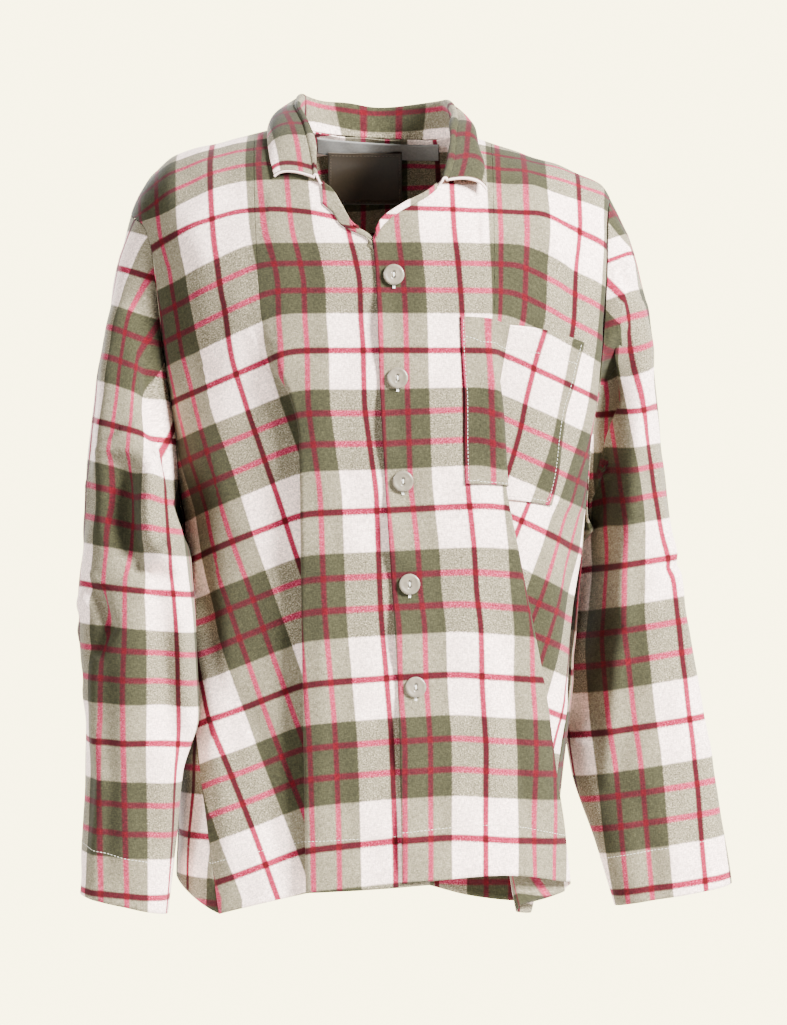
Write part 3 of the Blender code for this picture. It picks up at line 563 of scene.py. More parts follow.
# ---------------------------------------------------------------- the colours of the yarns and the finishes
@dataclass(frozen=True)
class Check:
    """A yarn-dyed check: each spot multiplies the colours of the warp and the weft yarn that cross there."""

    dark: Colour = (0.172, 0.168, 0.116)
    pale: Colour = (0.910, 0.802, 0.755)
    red: Colour = (0.265, 0.028, 0.066)
    wine: Colour = (0.240, 0.014, 0.046)
    red_places: tuple[float, float] = (0.40, 0.59)  # shares of the repeat, in the dark half
    red_half: float = 0.0024  # half the width of a red warp line; a weft line is wider as its repeat is
    wine_half: float = 0.0026
    band_blur: float = 0.007  # in shares of the repeat
    line_blur: tuple[float, float] = (0.0009, 0.0010)  # inwards and outwards of a line's edge


def set_inputs(node: bpy.types.Node, values: dict[str, object]) -> None:
    """Sets sockets' default values by name."""
    for name, value in values.items():
        node.inputs[name].default_value = value


class Wiring:
    """Adds nodes to one tree and links them, with short calls."""

    def __init__(self, tree: bpy.types.NodeTree) -> None:
        """Keeps the tree."""
        self.tree = tree

    def add(
        self, kind: str, values: dict[str | int, object] | None = None, **settings: object
    ) -> bpy.types.Node:
        """A new node.

        Args:
            kind: the node's type.
            values: links or constants of its sockets, by name or number.
            settings: its other properties.

        Returns:
            The node.
        """
        node = self.tree.nodes.new(kind)
        for name, value in settings.items():
            setattr(node, name, value)
        for name, value in (values or {}).items():
            if isinstance(value, bpy.types.NodeSocket):
                self.tree.links.new(value, node.inputs[name])
            else:
                node.inputs[name].default_value = value
        return node

    def math(self, operation: str, *values: object) -> bpy.types.NodeSocket:
        """The result of a Math node on links or numbers."""
        return self.add("ShaderNodeMath", dict(enumerate(values)), operation=operation).outputs[0]

    def blend(self, factor: object, first: object, second: object) -> bpy.types.NodeSocket:
        """A mix of two colours."""
        node = self.add("ShaderNodeMix", {0: factor, 6: first, 7: second}, data_type="RGBA")
        return node.outputs[2]

    def multiply(self, first: object, second: object) -> bpy.types.NodeSocket:
        """The product of two colours."""
        values = {0: 1.0, 6: first, 7: second}
        node = self.add("ShaderNodeMix", values, data_type="RGBA", blend_type="MULTIPLY")
        return node.outputs[2]

    def smooth(self, value: object, start: float, stop: float) -> bpy.types.NodeSocket:
        """0 before start and 1 after stop, eased between."""
        values = {"Value": value, "From Min": start, "From Max": stop, "To Min": 0.0, "To Max": 1.0}
        return self.add("ShaderNodeMapRange", values, interpolation_type="SMOOTHSTEP").outputs[0]


def new_group(
    name: str, inputs: dict[str, str], outputs: dict[str, str]
) -> tuple[bpy.types.NodeTree, Wiring]:
    """An empty shader node group with named sockets.

    Args:
        name: the group's name.
        inputs: socket type by name.
        outputs: socket type by name.

    Returns:
        The group and its wiring.
    """
    tree = bpy.data.node_groups.new(name, "ShaderNodeTree")
    for direction, sockets in (("INPUT", inputs), ("OUTPUT", outputs)):
        for socket, kind in sockets.items():
            tree.interface.new_socket(name=socket, in_out=direction, socket_type=kind)
    return tree, Wiring(tree)


def yarn_group(check: Check) -> bpy.types.NodeTree:
    """Colour of the yarns of one system, from the place across them counted in repeats.

    The repeat has a pale half round 0 with a wine line in it, and a dark half round 0.5 with two red lines.

    Args:
        check: the yarns' colours and the lines' widths.

    Returns:
        The group, from Place to Color.
    """
    tree, wire = new_group("yarn stripes", {"Place": "NodeSocketFloat"}, {"Color": "NodeSocketColor"})
    entry, leave = tree.nodes.new("NodeGroupInput"), tree.nodes.new("NodeGroupOutput")
    share = wire.math("FRACT", wire.math("ADD", entry.outputs["Place"], 64.0))
    from_dark = wire.math("ABSOLUTE", wire.math("SUBTRACT", share, 0.5))
    pale = wire.smooth(from_dark, 0.25 - check.band_blur, 0.25 + check.band_blur)
    colour = wire.blend(pale, (*check.dark, 1), (*check.pale, 1))
    lines = [(middle, check.red, check.red_half) for middle in check.red_places]
    lines += [(middle, check.wine, check.wine_half) for middle in (0.0, 1.0)]
    for middle, yarn, half in lines:
        away = wire.math("MULTIPLY", wire.math("ABSOLUTE", wire.math("SUBTRACT", share, middle)), WARP_REPEAT)
        outside = wire.smooth(away, half - check.line_blur[0], half + check.line_blur[1])
        colour = wire.blend(wire.math("SUBTRACT", 1.0, outside), colour, (*yarn, 1))
    tree.links.new(colour, leave.inputs["Color"])
    return tree


def nap_group() -> bpy.types.NodeTree:
    """Unevenness of brushed flannel: fine and coarse noise laid on the weave, and the twill's diagonal.

    Returns:
        The group, from Vector to Tone (how light the fibre is), Height and Stray (which of two yarns shows).
    """
    outputs = dict.fromkeys(("Tone", "Height", "Stray"), "NodeSocketFloat")
    tree, wire = new_group("brushed nap", {"Vector": "NodeSocketVector"}, outputs)
    entry, leave = tree.nodes.new("NodeGroupInput"), tree.nodes.new("NodeGroupOutput")
    noises = {}
    for name, scale, detail in (("fine", 780.0, 1.0), ("fibre", 300.0, 2.0), ("soft", 40.0, 3.0)):
        values = {"Vector": entry.outputs["Vector"], "Scale": scale, "Detail": detail, "Roughness": 0.6}
        noises[name] = wire.add("ShaderNodeTexNoise", values).outputs["Fac"]
    parts = wire.add("ShaderNodeSeparateXYZ", {0: entry.outputs["Vector"]})
    slant = wire.math("ADD", parts.outputs[0], wire.math("MULTIPLY", parts.outputs[1], 0.8))
    twill = wire.math("SINE", wire.math("MULTIPLY", slant, 2 * math.pi / TWILL_PITCH))
    uneven = wire.math("MULTIPLY", wire.math("SUBTRACT", noises["fine"], 0.5), 0.9)
    for squeeze in ((260.0, 900.0, 1.0), (900.0, 260.0, 1.0)):
        values = {0: entry.outputs["Vector"], 1: squeeze}
        stretched = wire.add("ShaderNodeVectorMath", values, operation="MULTIPLY").outputs[0]
        values = {"Vector": stretched, "Scale": 1.0, "Detail": 1.0}
        yarns = wire.add("ShaderNodeTexNoise", values).outputs["Fac"]
        uneven = wire.math("ADD", uneven, wire.math("MULTIPLY", wire.math("SUBTRACT", yarns, 0.5), 0.9))
    for name, weight in (("fibre", 0.9), ("soft", 0.5)):
        noise = wire.math("MULTIPLY", wire.math("SUBTRACT", noises[name], 0.5), weight)
        uneven = wire.math("ADD", uneven, noise)
    uneven = wire.math("ADD", uneven, wire.math("MULTIPLY", twill, 0.04))
    fine, fibre = wire.math("MULTIPLY", noises["fine"], 0.5), wire.math("MULTIPLY", noises["fibre"], 0.5)
    height = wire.math("ADD", fibre, fine)
    tree.links.new(wire.math("EXPONENT", uneven), leave.inputs["Tone"])
    tree.links.new(noises["fine"], leave.inputs["Stray"])
    tree.links.new(wire.math("ADD", height, wire.math("MULTIPLY", twill, 0.05)), leave.inputs["Height"])
    return tree


@dataclass(frozen=True)
class Flannel:
    """Brushed cotton flannel woven in the check."""

    name: str = "flannel check"
    stray: float = 0.0014  # how far the edge of a stripe strays
    lean: float = 1.5  # how much of the warp's or the weft's colour shows, from spot to spot

    def material(self, groups: dict[str, bpy.types.NodeTree]) -> bpy.types.Material:
        """The finish as a material that reads the piece's weave map.

        Args:
            groups: the shared groups by name.

        Returns:
            The material.
        """
        made = bpy.data.materials.new(self.name)
        made.use_nodes = True
        wire = Wiring(made.node_tree)
        shader = made.node_tree.nodes["Principled BSDF"]
        place = wire.add("ShaderNodeUVMap", uv_map="weave").outputs["UV"]
        parts = wire.add("ShaderNodeSeparateXYZ", {0: place})
        nap = wire.add("ShaderNodeGroup", node_tree=groups["nap"])
        made.node_tree.links.new(place, nap.inputs["Vector"])
        yarns = []
        for axis, repeat in ((0, WARP_REPEAT), (1, WEFT_REPEAT)):
            yarn = wire.add("ShaderNodeGroup", node_tree=groups["yarn"])
            stray = wire.math("MULTIPLY", wire.math("SUBTRACT", nap.outputs["Stray"], 0.5), self.stray)
            place_across = wire.math("ADD", parts.outputs[axis], stray)
            made.node_tree.links.new(wire.math("DIVIDE", place_across, repeat), yarn.inputs["Place"])
            yarns.append(yarn.outputs["Color"])
        lean = wire.math("MULTIPLY", wire.math("SUBTRACT", nap.outputs["Stray"], 0.5), self.lean)
        shares = wire.math("ADD", 1.0, lean), wire.math("SUBTRACT", 1.0, lean)
        raised = [
            wire.add("ShaderNodeGamma", {"Color": yarn, "Gamma": share}).outputs[0]
            for yarn, share in zip(yarns, shares)
        ]
        colour = wire.multiply(wire.multiply(*raised), nap.outputs["Tone"])
        values = {"Height": nap.outputs["Height"], "Strength": 0.35, "Distance": 0.0006}
        bump = wire.add("ShaderNodeBump", values)
        made.node_tree.links.new(colour, shader.inputs["Base Color"])
        made.node_tree.links.new(bump.outputs["Normal"], shader.inputs["Normal"])
        set_inputs(shader, {"Roughness": 0.95, "Specular IOR Level": 0.10})
        set_inputs(shader, {"Sheen Weight": 0.04, "Sheen Roughness": 0.6})
        return made


@dataclass(frozen=True)
class Plain:
    """A finish of one colour: thread, satin, shell or tape, with faint unevenness."""

    name: str
    colour: Colour
    roughness: float
    sheen: float = 0.0
    coat: float = 0.0
    grain_scale: float = 400.0
    grain: float = 0.10
    anisotropic: float = 0.0

    def material(self, groups: dict[str, bpy.types.NodeTree]) -> bpy.types.Material:
        """The finish as a material whose faint noise lies on the piece's own place in space.

        Args:
            groups: the shared groups, of which it needs none.

        Returns:
            The material.
        """
        made = bpy.data.materials.new(self.name)
        made.use_nodes = True
        wire = Wiring(made.node_tree)
        shader = made.node_tree.nodes["Principled BSDF"]
        place = wire.add("ShaderNodeTexCoord").outputs["Object"]
        noise = wire.add("ShaderNodeTexNoise", {"Vector": place, "Scale": self.grain_scale, "Detail": 3.0})
        tone = wire.smooth(noise.outputs["Fac"], 0.3, 0.7)
        low, high = ((*(c * k for c in self.colour), 1) for k in (1 - self.grain, 1 + self.grain))
        made.node_tree.links.new(wire.blend(tone, low, high), shader.inputs["Base Color"])
        values = {"Roughness": self.roughness, "Sheen Weight": self.sheen, "Coat Weight": self.coat}
        set_inputs(shader, values | {"Anisotropic": self.anisotropic})
        return made


class Finish(Enum):
    """The finishes that the pieces wear."""

    FLANNEL = Flannel()
    # the neck tape itself is white; this darker grey paints in the shade that lies on it inside the neck
    TAPE = Plain("neck tape twill", (0.150, 0.146, 0.134), 0.8)
    SATIN = Plain("brown satin", (0.024, 0.015, 0.006), 0.60, anisotropic=0.4)
    SHELL = Plain("shell button", (0.165, 0.140, 0.102), 0.34, coat=0.12, grain_scale=180.0, grain=0.16)
    THREAD = Plain("cotton thread", (0.80, 0.77, 0.70), 0.8)
    PALE_THREAD = Plain("seam thread", (0.62, 0.60, 0.50), 0.8)
    DARK_THREAD = Plain("label thread", (0.10, 0.075, 0.05), 0.8)


class Wardrobe:
    """Makes each finish once and hands its material out."""

    def __init__(self) -> None:
        """Builds the shared groups."""
        self.groups = {"yarn": yarn_group(Check()), "nap": nap_group()}
        self.made: dict[Finish, bpy.types.Material] = {}

    def dress(
        self, piece: bpy.types.Object, finish: Finish, node: str | None = None
    ) -> None:
        """Puts a finish on a piece as its only material, and ties the piece to the body.

        Args:
            piece: the piece.
            finish: its finish.
            node: the part that it stands for, if any.
        """
        if finish not in self.made:
            self.made[finish] = finish.value.material(self.groups)
        piece.data.materials.clear()
        piece.data.materials.append(self.made[finish])
        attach(piece, "root")
        if node:
            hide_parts(node)
        LOG.info("%s: %d faces", piece.name, len(piece.data.polygons))


# ---------------------------------------------------------------- sewing
@dataclass(frozen=True)
class Stitching:
    """A run of stitches: short capsules along a line, joined in one mesh."""

    pitch: float = 0.0034
    length: float = 0.0026
    radius: float = 0.00024
    proud: float = 0.0001
    flatness: float = 0.7
    rings: int = 5
    sides: int = 8

    def points(self, line: Array, out: Array) -> tuple[Array, Faces]:
        """Stitches along a line of points.

        Args:
            line: points along the seam, on the cloth's face.
            out: unit vectors out of the cloth at each of them.

        Returns:
            The mesh's points and faces.
        """
        length = lengths_along(line)
        count = max(int(length[-1] / self.pitch), 1)
        middles = (np.arange(count) + 0.5) * length[-1] / count
        half = self.length / 2
        first, last, middle = (at_lengths(line, length, middles + away) for away in (-half, half, 0))
        return self.bars(first, last, middle, unit(at_lengths(out, length, middles)))

    def bars(self, first: Array, last: Array, middle: Array, up: Array) -> tuple[Array, Faces]:
        """Stitches as tubes whose rings narrow towards both ends and arch over the middle.

        Args:
            first: where each stitch starts.
            last: where it ends.
            middle: its middle on the cloth.
            up: unit vectors out of the cloth.

        Returns:
            The mesh's points and faces.
        """
        ahead = unit(last - first)
        side = unit(np.cross(ahead, up))
        share = np.linspace(-1, 1, self.rings)
        turn = np.linspace(0, 2 * np.pi, self.sides, endpoint=False)
        radii = self.radius * np.sqrt(np.clip(1 - np.abs(share) ** 3, 0.02, 1))
        centre = middle[:, None] + (last - first)[:, None] / 2 * share[:, None] * 0.98
        centre = centre + up[:, None] * (self.proud + self.radius * 0.6 * (1 - share**2))[:, None]
        rise = (np.sin(turn) * self.flatness)[:, None]
        ring = side[:, None, None] * np.cos(turn)[:, None] + up[:, None, None] * rise
        points = centre[:, :, None] + ring * radii[:, None, None]
        return points.reshape(-1, 3), tube_faces(len(first), self.rings, self.sides)


def tube_faces(count: int, rings: int, sides: int) -> Faces:
    """Faces of equal tubes, each closed at its ends by faces that reach across it.

    Args:
        count: number of tubes.
        rings: rings of points in a tube.
        sides: points in a ring.

    Returns:
        The faces, tube after tube.
    """
    half = np.arange(sides // 2 - 1)
    cap = np.stack([half, half + 1, sides - 2 - half, sides - 1 - half], axis=-1)
    one = np.concatenate([ring_faces(rings, sides)[:, [0, 3, 2, 1]], cap[:, ::-1], cap + (rings - 1) * sides])
    return (one[None] + (np.arange(count) * rings * sides)[:, None, None]).reshape(-1, 4)


def joined(name: str, parts: list[tuple[Array, Faces]]) -> bpy.types.Object:
    """One object from several sets of points and faces.

    Args:
        name: its name.
        parts: the sets.

    Returns:
        The new object.
    """
    starts = np.cumsum([0] + [len(points) for points, _ in parts[:-1]])
    faces = np.concatenate([faces + start for (_, faces), start in zip(parts, starts)])
    return surface_object(name, np.concatenate([points for points, _ in parts]), faces)


def seam(cloth: Cloth, row: Array, column: Array, away: float) -> tuple[Array, Array]:
    """A line on a sheet's good side.

    Args:
        cloth: the sheet.
        row: fractional rows of the line.
        column: its fractional columns.
        away: how far it lies above the sheet's middle.

    Returns:
        The line's points and the unit vectors out of the cloth there.
    """
    normals = cloth.normals()
    return between(cloth.grid + normals * away, row, column), unit(between(normals, row, column))


def fold_share(across: Array) -> Array:
    """Share of the deep fold at a place across a front: 0 before it, 1 behind it."""
    return np.clip((across - FOLD_FROM) / (FOLD_TO - FOLD_FROM), 0, 1)


# ---------------------------------------------------------------- fronts
@dataclass
class Front:
    """One front with its deep fold, from its closing edge to its armhole and side seam."""

    name: str
    side: Side
    folds: Table
    neckline: Table
    hem: Table
    facing_name: str
    facing: Table
    warps: Table
    drops: Table
    creases: tuple[Crease, ...]
    flat: tuple[float, float]
    counts: tuple[int, int, int] = (66, 44, 56)
    rows: tuple[int, int] = (96, 118)
    stand_off: float = 0.0046  # how far the upper front's edge stands off halfway between two buttons
    rolled: float = 0.0012  # how far the facing rises above the neckline
    narrowest: float = 0.0102  # the least width that a strip is cut to
    calm: float = 0.0  # how much of the wefts' side slope is lost low down in front of the fold

    def across(self) -> Array:
        """Places of the columns: evenly in front of the fold, in it and behind it."""
        before = np.linspace(0, FOLD_FROM, self.counts[0])
        inside = np.linspace(FOLD_FROM, FOLD_TO, self.counts[1])[1:]
        return np.concatenate([before, inside, np.linspace(FOLD_TO, 1, self.counts[2])[1:]])

    def fold_curve(self, share: Array, height: Array) -> tuple[Array, Array]:
        """An S-shaped fold of two arcs and a straight run: bend under, run back, bend forward again.

        Args:
            share: share of the fold.
            height: heights, by which the run's length and the bends' angle are read.

        Returns:
            Travel along the section, and travel out of it.
        """
        middle, angle = self.folds.read("middle", height), np.radians(self.folds.read("turned", height))
        radius = BEND_LENGTH / angle
        first = np.clip(share / BEND_SHARE, 0, 1) * BEND_LENGTH
        run = np.clip((share - BEND_SHARE) / (1 - 2 * BEND_SHARE), 0, 1) * middle
        last = np.clip((share - 1 + BEND_SHARE) / BEND_SHARE, 0, 1) * BEND_LENGTH
        along = radius * np.sin(first / radius) + run * np.cos(angle)
        along = along + radius * (np.sin(angle) - np.sin(angle - last / radius))
        out = -radius * (1 - np.cos(first / radius)) - run * np.sin(angle)
        out = out - radius * (np.cos(angle - last / radius) - np.cos(angle))
        return along - radius * np.sin(np.minimum(angle, np.pi / 2)), out

    def turns(self, height: Array) -> tuple[Array, Array, Array, Array, Array]:
        """Turns from straight ahead, counted outwards.

        Args:
            height: heights of the points.

        Returns:
            Those of the closing edge and the fold's crest, of the fold's start and end counted from the
            crest, and of the side seam.
        """
        sign = self.side.value
        edge = CLOSING_EDGE.read("x", height)
        if self.side is Side.RIGHT:
            edge = edge + UNDERLAP * ease(-height, 0.078, 0.100)
        ends = np.zeros_like(height), np.ones_like(height)
        start, stop = (self.fold_curve(share, height)[0] / ARC_RADIUS for share in ends)
        crest = sign * BODY.turn_at(sign * self.folds.read("crest", height), height)
        return sign * BODY.turn_at(edge, height), crest, start, stop, side_turn(self.side, height)

    def turn(self, across: Array, height: Array) -> Array:
        """Turn from straight ahead, counted outwards: even up to the fold, along its curve, and even again.

        Args:
            across: places across the front.
            height: heights of the points.

        Returns:
            The turns.
        """
        first, crest, start, stop, last = self.turns(height)
        along, _ = self.fold_curve(fold_share(across), height)
        before = first + (crest + start - first) * across / FOLD_FROM
        after = crest + stop + (last - crest - stop) * (across - FOLD_TO) / (1 - FOLD_TO)
        inside = crest + along / ARC_RADIUS
        return np.where(across < FOLD_FROM, before, np.where(across < FOLD_TO, inside, after))

    def point(self, across: Array, height: Array) -> Array:
        """A point of the front.

        Args:
            across: from the closing edge (0) to the armhole and side seam (1).
            height: its height.

        Returns:
            The body's point at that turn, moved out or in by the fold, the side seam and the underlap.
        """
        _, out = self.fold_curve(fold_share(across), height)
        lift = FOLD_LIFT * self.folds.read("turned", height) / 170 * ease(across, 0.05, FOLD_FROM)
        settle = ease(across, FOLD_TO, 1.0)
        shift = (lift + out) * (1 - settle) + side_shift(self.side, height) * settle
        if self.side is Side.RIGHT:
            shift = shift - UNDERLAP_DROP * (1 - ease(across, 0.10, FOLD_FROM))
        return BODY.point(self.side.value * self.turn(across, height), height, shift)

    def top_edge(self, x: Array) -> Array:
        """Height of the top edge: the neckline in the middle, the shoulders' ridge outside it.

        Args:
            x: sideways places.

        Returns:
            The heights.
        """
        ends = self.neckline.column("x")
        inside = x > ends[0] if self.side is Side.RIGHT else x < ends[-1]
        return np.where(inside, self.neckline.read("height", x), BODY.ridge(x))

    def heights(self, across: Array) -> Array:
        """Heights of the grid, from the top edge down to the hem in each column.

        Args:
            across: the columns' places.

        Returns:
            The heights of all rows and columns.
        """
        tip = SHOULDER_TIPS[self.side]
        top = top_heights(self.point, self.top_edge, across, (None, tip))
        hem = self.hem.read("height", across)
        return top + row_shares(tip, hem[-1], self.rows)[:, None] * (hem - top)

    def arc(self, turn: Array, height: Array) -> Array:
        """Length round the plain section from straight ahead to a turn: sum of short chords.

        Args:
            turn: turns from straight ahead.
            height: heights of the rows.

        Returns:
            The lengths, with the turns' signs.
        """
        most, steps = 2.2, 110
        turns = np.linspace(0, most, steps + 1)
        rows = BODY.point(turns[None, :] * self.side.value, height[:, :1] + 0 * turns[None, :], 0.0)
        length = lengths_along(rows[..., :2], axis=1)
        place = np.clip(np.abs(turn), 0, most) / most * steps
        row = np.broadcast_to(np.arange(len(height), dtype=float)[:, None], place.shape)
        return between(length, row, place) * np.sign(turn)

    def warp_place(self, across: Array, height: Array, x: Array) -> Array:
        """Place across the warp, in metres, from the guide lines of the middle and of the side.

        It is a length round the section, but on the right front up to 50 degrees the plain x. The side's
        warps lean by 20 degrees, so there it is taken times the cosine. Inside the fold it runs evenly from
        one zone to the other.

        Args:
            across: places across the front.
            height: heights of the points.
            x: their sideways places.

        Returns:
            Metres from the wine line in the middle zone; the side zone's own line lies one repeat further.
        """
        sign = self.side.value
        turn = self.turn(across, height)
        guides = [self.warps.read(name, height) for name in ("middle", "side")]
        if self.side is Side.LEFT:
            guides = [sign * self.arc(sign * BODY.turn_at(line, height), height) for line in guides]
            place = self.arc(turn, height)
        else:
            limit = np.full_like(turn, math.radians(50))
            past = self.arc(np.maximum(turn, limit), height) - self.arc(limit, height)
            place = np.where(turn > limit, -(np.abs(BODY.point(-limit, height, 0.0)[..., 0]) + past), x)
        middle = place - guides[0]
        lean = math.radians(20)
        side = math.cos(lean) * (place - guides[1]) + sign * WARP_REPEAT
        start, stop = self.counts[0] - 1, self.counts[0] + self.counts[1] - 2
        share = fold_share(across)
        inside = middle[:, start : start + 1] * (1 - share) + side[:, stop : stop + 1] * share
        return np.where(across < FOLD_FROM, middle, np.where(across > FOLD_TO, side, inside))

    def weft_drop(self, across: Array, height: Array, x: Array) -> Array:
        """How much lower a weft lies at a place than at the closing edge: slopes of the middle and the side.

        The side's slope begins softly at the bend: ln(1 + e^t) of the distance past it. Low down, the panel
        in front of the fold hangs straight, so there that slope is calmed.

        Args:
            across: places across the front.
            height: heights of the points.
            x: their sideways places.

        Returns:
            The drops, in metres.
        """
        bend = self.drops.read("bend", height)
        start = CLOSING_EDGE.read("x", height)
        outward = self.side.value * (x - start)
        past = self.side.value * (x - bend)
        rounding = 0.006
        soft = np.logaddexp(0, past / rounding) * rounding
        calmed = self.calm * (1 - fold_share(across)) * ease(-height, 0.26, 0.36)
        side = self.drops.read("side", height) * (1 - calmed)
        return self.drops.read("middle", height) * np.clip(outward, 0, None) + side * soft

    def cloth(self) -> Cloth:
        """The front's sheet with its creases and its place in the weave."""
        across = self.across()
        height = self.heights(across)
        wide = np.broadcast_to(across, height.shape)
        plain = self.point(wide, height)
        x, z = plain[..., 0], plain[..., 2]
        weave = [self.warp_place(wide, height, x), weft_place(plain, self.weft_drop(wide, height, x))]
        sheet = Cloth(plain, np.stack(weave, axis=-1), -self.side.value)
        shown = 1 - ease(wide, *FOLD_HIDDEN[:2]) * (1 - ease(wide, *FOLD_HIDDEN[2:]))
        rise = (relief(self.creases, x, z) + slack(x, z, 0.0010)) * shown
        rise = rise + self.edge_lift(wide, height)
        sheet.grid = plain + sheet.normals() * rise[..., None]
        return sheet

    def edge_lift(self, across: Array, height: Array) -> Array:
        """The upper front's closing edge stands off between the buttons: a cosine wave of the buttons' pitch.

        Args:
            across: places across the front.
            height: heights of the points.

        Returns:
            How far each point stands off.
        """
        if self.side is Side.RIGHT:
            return np.zeros_like(height)
        wave = 0.5 - 0.5 * np.cos(2 * np.pi * (height - Buttons.first) / Buttons.pitch)
        return self.stand_off * wave * (1 - ease(across, 0.0, 0.05)) * ease(-height, 0.13, 0.16)

    def build(self, wardrobe: Wardrobe) -> Cloth:
        """Makes and dresses the front and its rolled facing.

        Args:
            wardrobe: the finishes.

        Returns:
            The front's sheet, for what is sewn on it.
        """
        sheet = self.cloth()
        piece = sheet.object(f"{self.name}_cloth", WALL)
        wardrobe.dress(piece, Finish.FLANNEL, self.name)
        self.build_facing(sheet, wardrobe)
        return sheet

    def build_facing(self, sheet: Cloth, wardrobe: Wardrobe) -> None:
        """The part of the facing that rolls out over the neckline: the front's own points, moved out.

        Args:
            sheet: the front's cloth.
            wardrobe: the finishes.
        """
        neck = slice(0, self.counts[0])
        x = np.linspace(self.facing.rows[0][0], self.facing.rows[-1][0], 70)
        sign = self.side.value
        column = np.interp(sign * x, sign * sheet.grid[0, neck, 0], np.arange(self.counts[0]))
        depth = self.facing.read("depth", x)
        index = np.arange(len(sheet.grid), dtype=float)
        down = between(sheet.grid[..., 2], index[:, None], column[None, :])
        last = np.array([np.interp(depth[i], down[0, i] - down[:, i], index) for i in range(len(x))])
        first = -self.rolled / (down[0] - down[1])
        share = np.linspace(0, 1, 14)[:, None]
        row = first + share * (last - first)
        wide = np.broadcast_to(column, row.shape)
        layer = 0.0016 + 0.0014 * np.sin(np.pi * np.clip(share * 0.8 + 0.12, 0, 1))
        points = between(sheet.grid, row, wide) + unit(between(sheet.normals(), row, wide)) * layer[..., None]
        weave = np.array([0.055, 0.01]) - between(sheet.weave, row, wide)
        strip = Cloth(points, weave, sheet.facing)
        piece = strip.object(f"{self.facing_name}_cloth", THIN_WALL)
        wardrobe.dress(piece, Finish.FLANNEL, self.facing_name)
        length = float(np.linalg.norm(np.diff(points[len(points) // 2], axis=0), axis=1).sum())
        width = float(np.linalg.norm(np.diff(points, axis=0), axis=-1).sum(axis=0).max())
        width = max(width, self.narrowest)


# ---------------------------------------------------------------- back
@dataclass(frozen=True)
class Flute:
    """A soft upright fold of the back: its turn and width in degrees, its depth and where it starts."""

    turned: float
    width: float
    depth: float
    top: float


@dataclass
class Back:
    """The back, from the wearer's right side seam round to the left one."""

    hem: Table
    flutes: tuple[Flute, ...]
    creases: tuple[Crease, ...]
    columns: int = 200
    rows: tuple[int, int] = (80, 100)
    guide_place: float = 0.52  # where in the check its middle lies, counted in repeats
    flat: tuple[float, float] = (0.58, 0.77)

    def point(self, across: Array, height: Array) -> Array:
        """A point of the back, moved out or in by the flutes and the side seams.

        Args:
            across: from the wearer's right seam (0) round to the left one (1).
            height: its height.

        Returns:
            The point.
        """
        fronts = {side: side_turn(side, height) for side in Side}
        ends = {side: np.where(height > UNDERARM, np.pi - turn, turn) for side, turn in fronts.items()}
        first, last = ends[Side.RIGHT], 2 * np.pi - ends[Side.LEFT]
        turn = first + (last - first) * across
        shift = np.zeros_like(turn)
        for flute in self.flutes:
            wave = np.exp(-(((np.degrees(turn) - flute.turned) / flute.width) ** 2))
            shift = shift + flute.depth * wave * ease(height, flute.top, -0.70)
        for side, away in ((Side.RIGHT, across), (Side.LEFT, 1 - across)):
            shift = shift + side_shift(side, height) * (1 - ease(away, 0.0, 0.30))
        return BODY.point(-turn, height, shift)

    def top_edge(self, x: Array) -> Array:
        """Height of the top edge: the neckline in the middle, the shoulders' ridge outside it.

        Args:
            x: sideways places.

        Returns:
            The heights.
        """
        ends = BACK_NECKLINE.column("x")
        inside = (x > ends[0]) & (x < ends[-1])
        return np.where(inside, BACK_NECKLINE.read("height", x), BODY.ridge(x))

    def cloth(self) -> Cloth:
        """The back's sheet, with the check centred on its middle."""
        across = np.linspace(0, 1, self.columns)
        tips = SHOULDER_TIPS[Side.RIGHT], SHOULDER_TIPS[Side.LEFT]
        hem = self.hem.read("height", across)
        top = top_heights(self.point, self.top_edge, across, tips)
        right, left = (row_shares(tip, low, self.rows)[:, None] for tip, low in zip(tips, (hem[0], hem[-1])))
        share = right * (1 - across) + left * across
        plain = self.point(np.broadcast_to(across, share.shape), top + share * (hem - top))
        length = lengths_along(plain[..., :2], axis=1)
        inner = slice(20, -20)
        middle = np.array([np.interp(0.0, plain[i, inner, 0], length[i, inner]) for i in range(len(plain))])
        warp = length - middle[:, None] + self.guide_place * WARP_REPEAT
        sheet = Cloth(plain, np.stack([warp, weft_place(plain, np.zeros_like(warp))], axis=-1), 1)
        x, z = plain[..., 0], plain[..., 2]
        rise = relief(self.creases, x, z) + slack(x + 0.3, z, 0.0012)
        sheet.grid = plain + sheet.normals() * rise[..., None]
        return sheet

    def build(self, wardrobe: Wardrobe) -> Cloth:
        """Makes and dresses the back.

        Args:
            wardrobe: the finishes.

        Returns:
            Its sheet, for the hem's stitches.
        """
        sheet = self.cloth()
        piece = sheet.object("back_cloth", WALL)
        wardrobe.dress(piece, Finish.FLANNEL, "back")
        return sheet


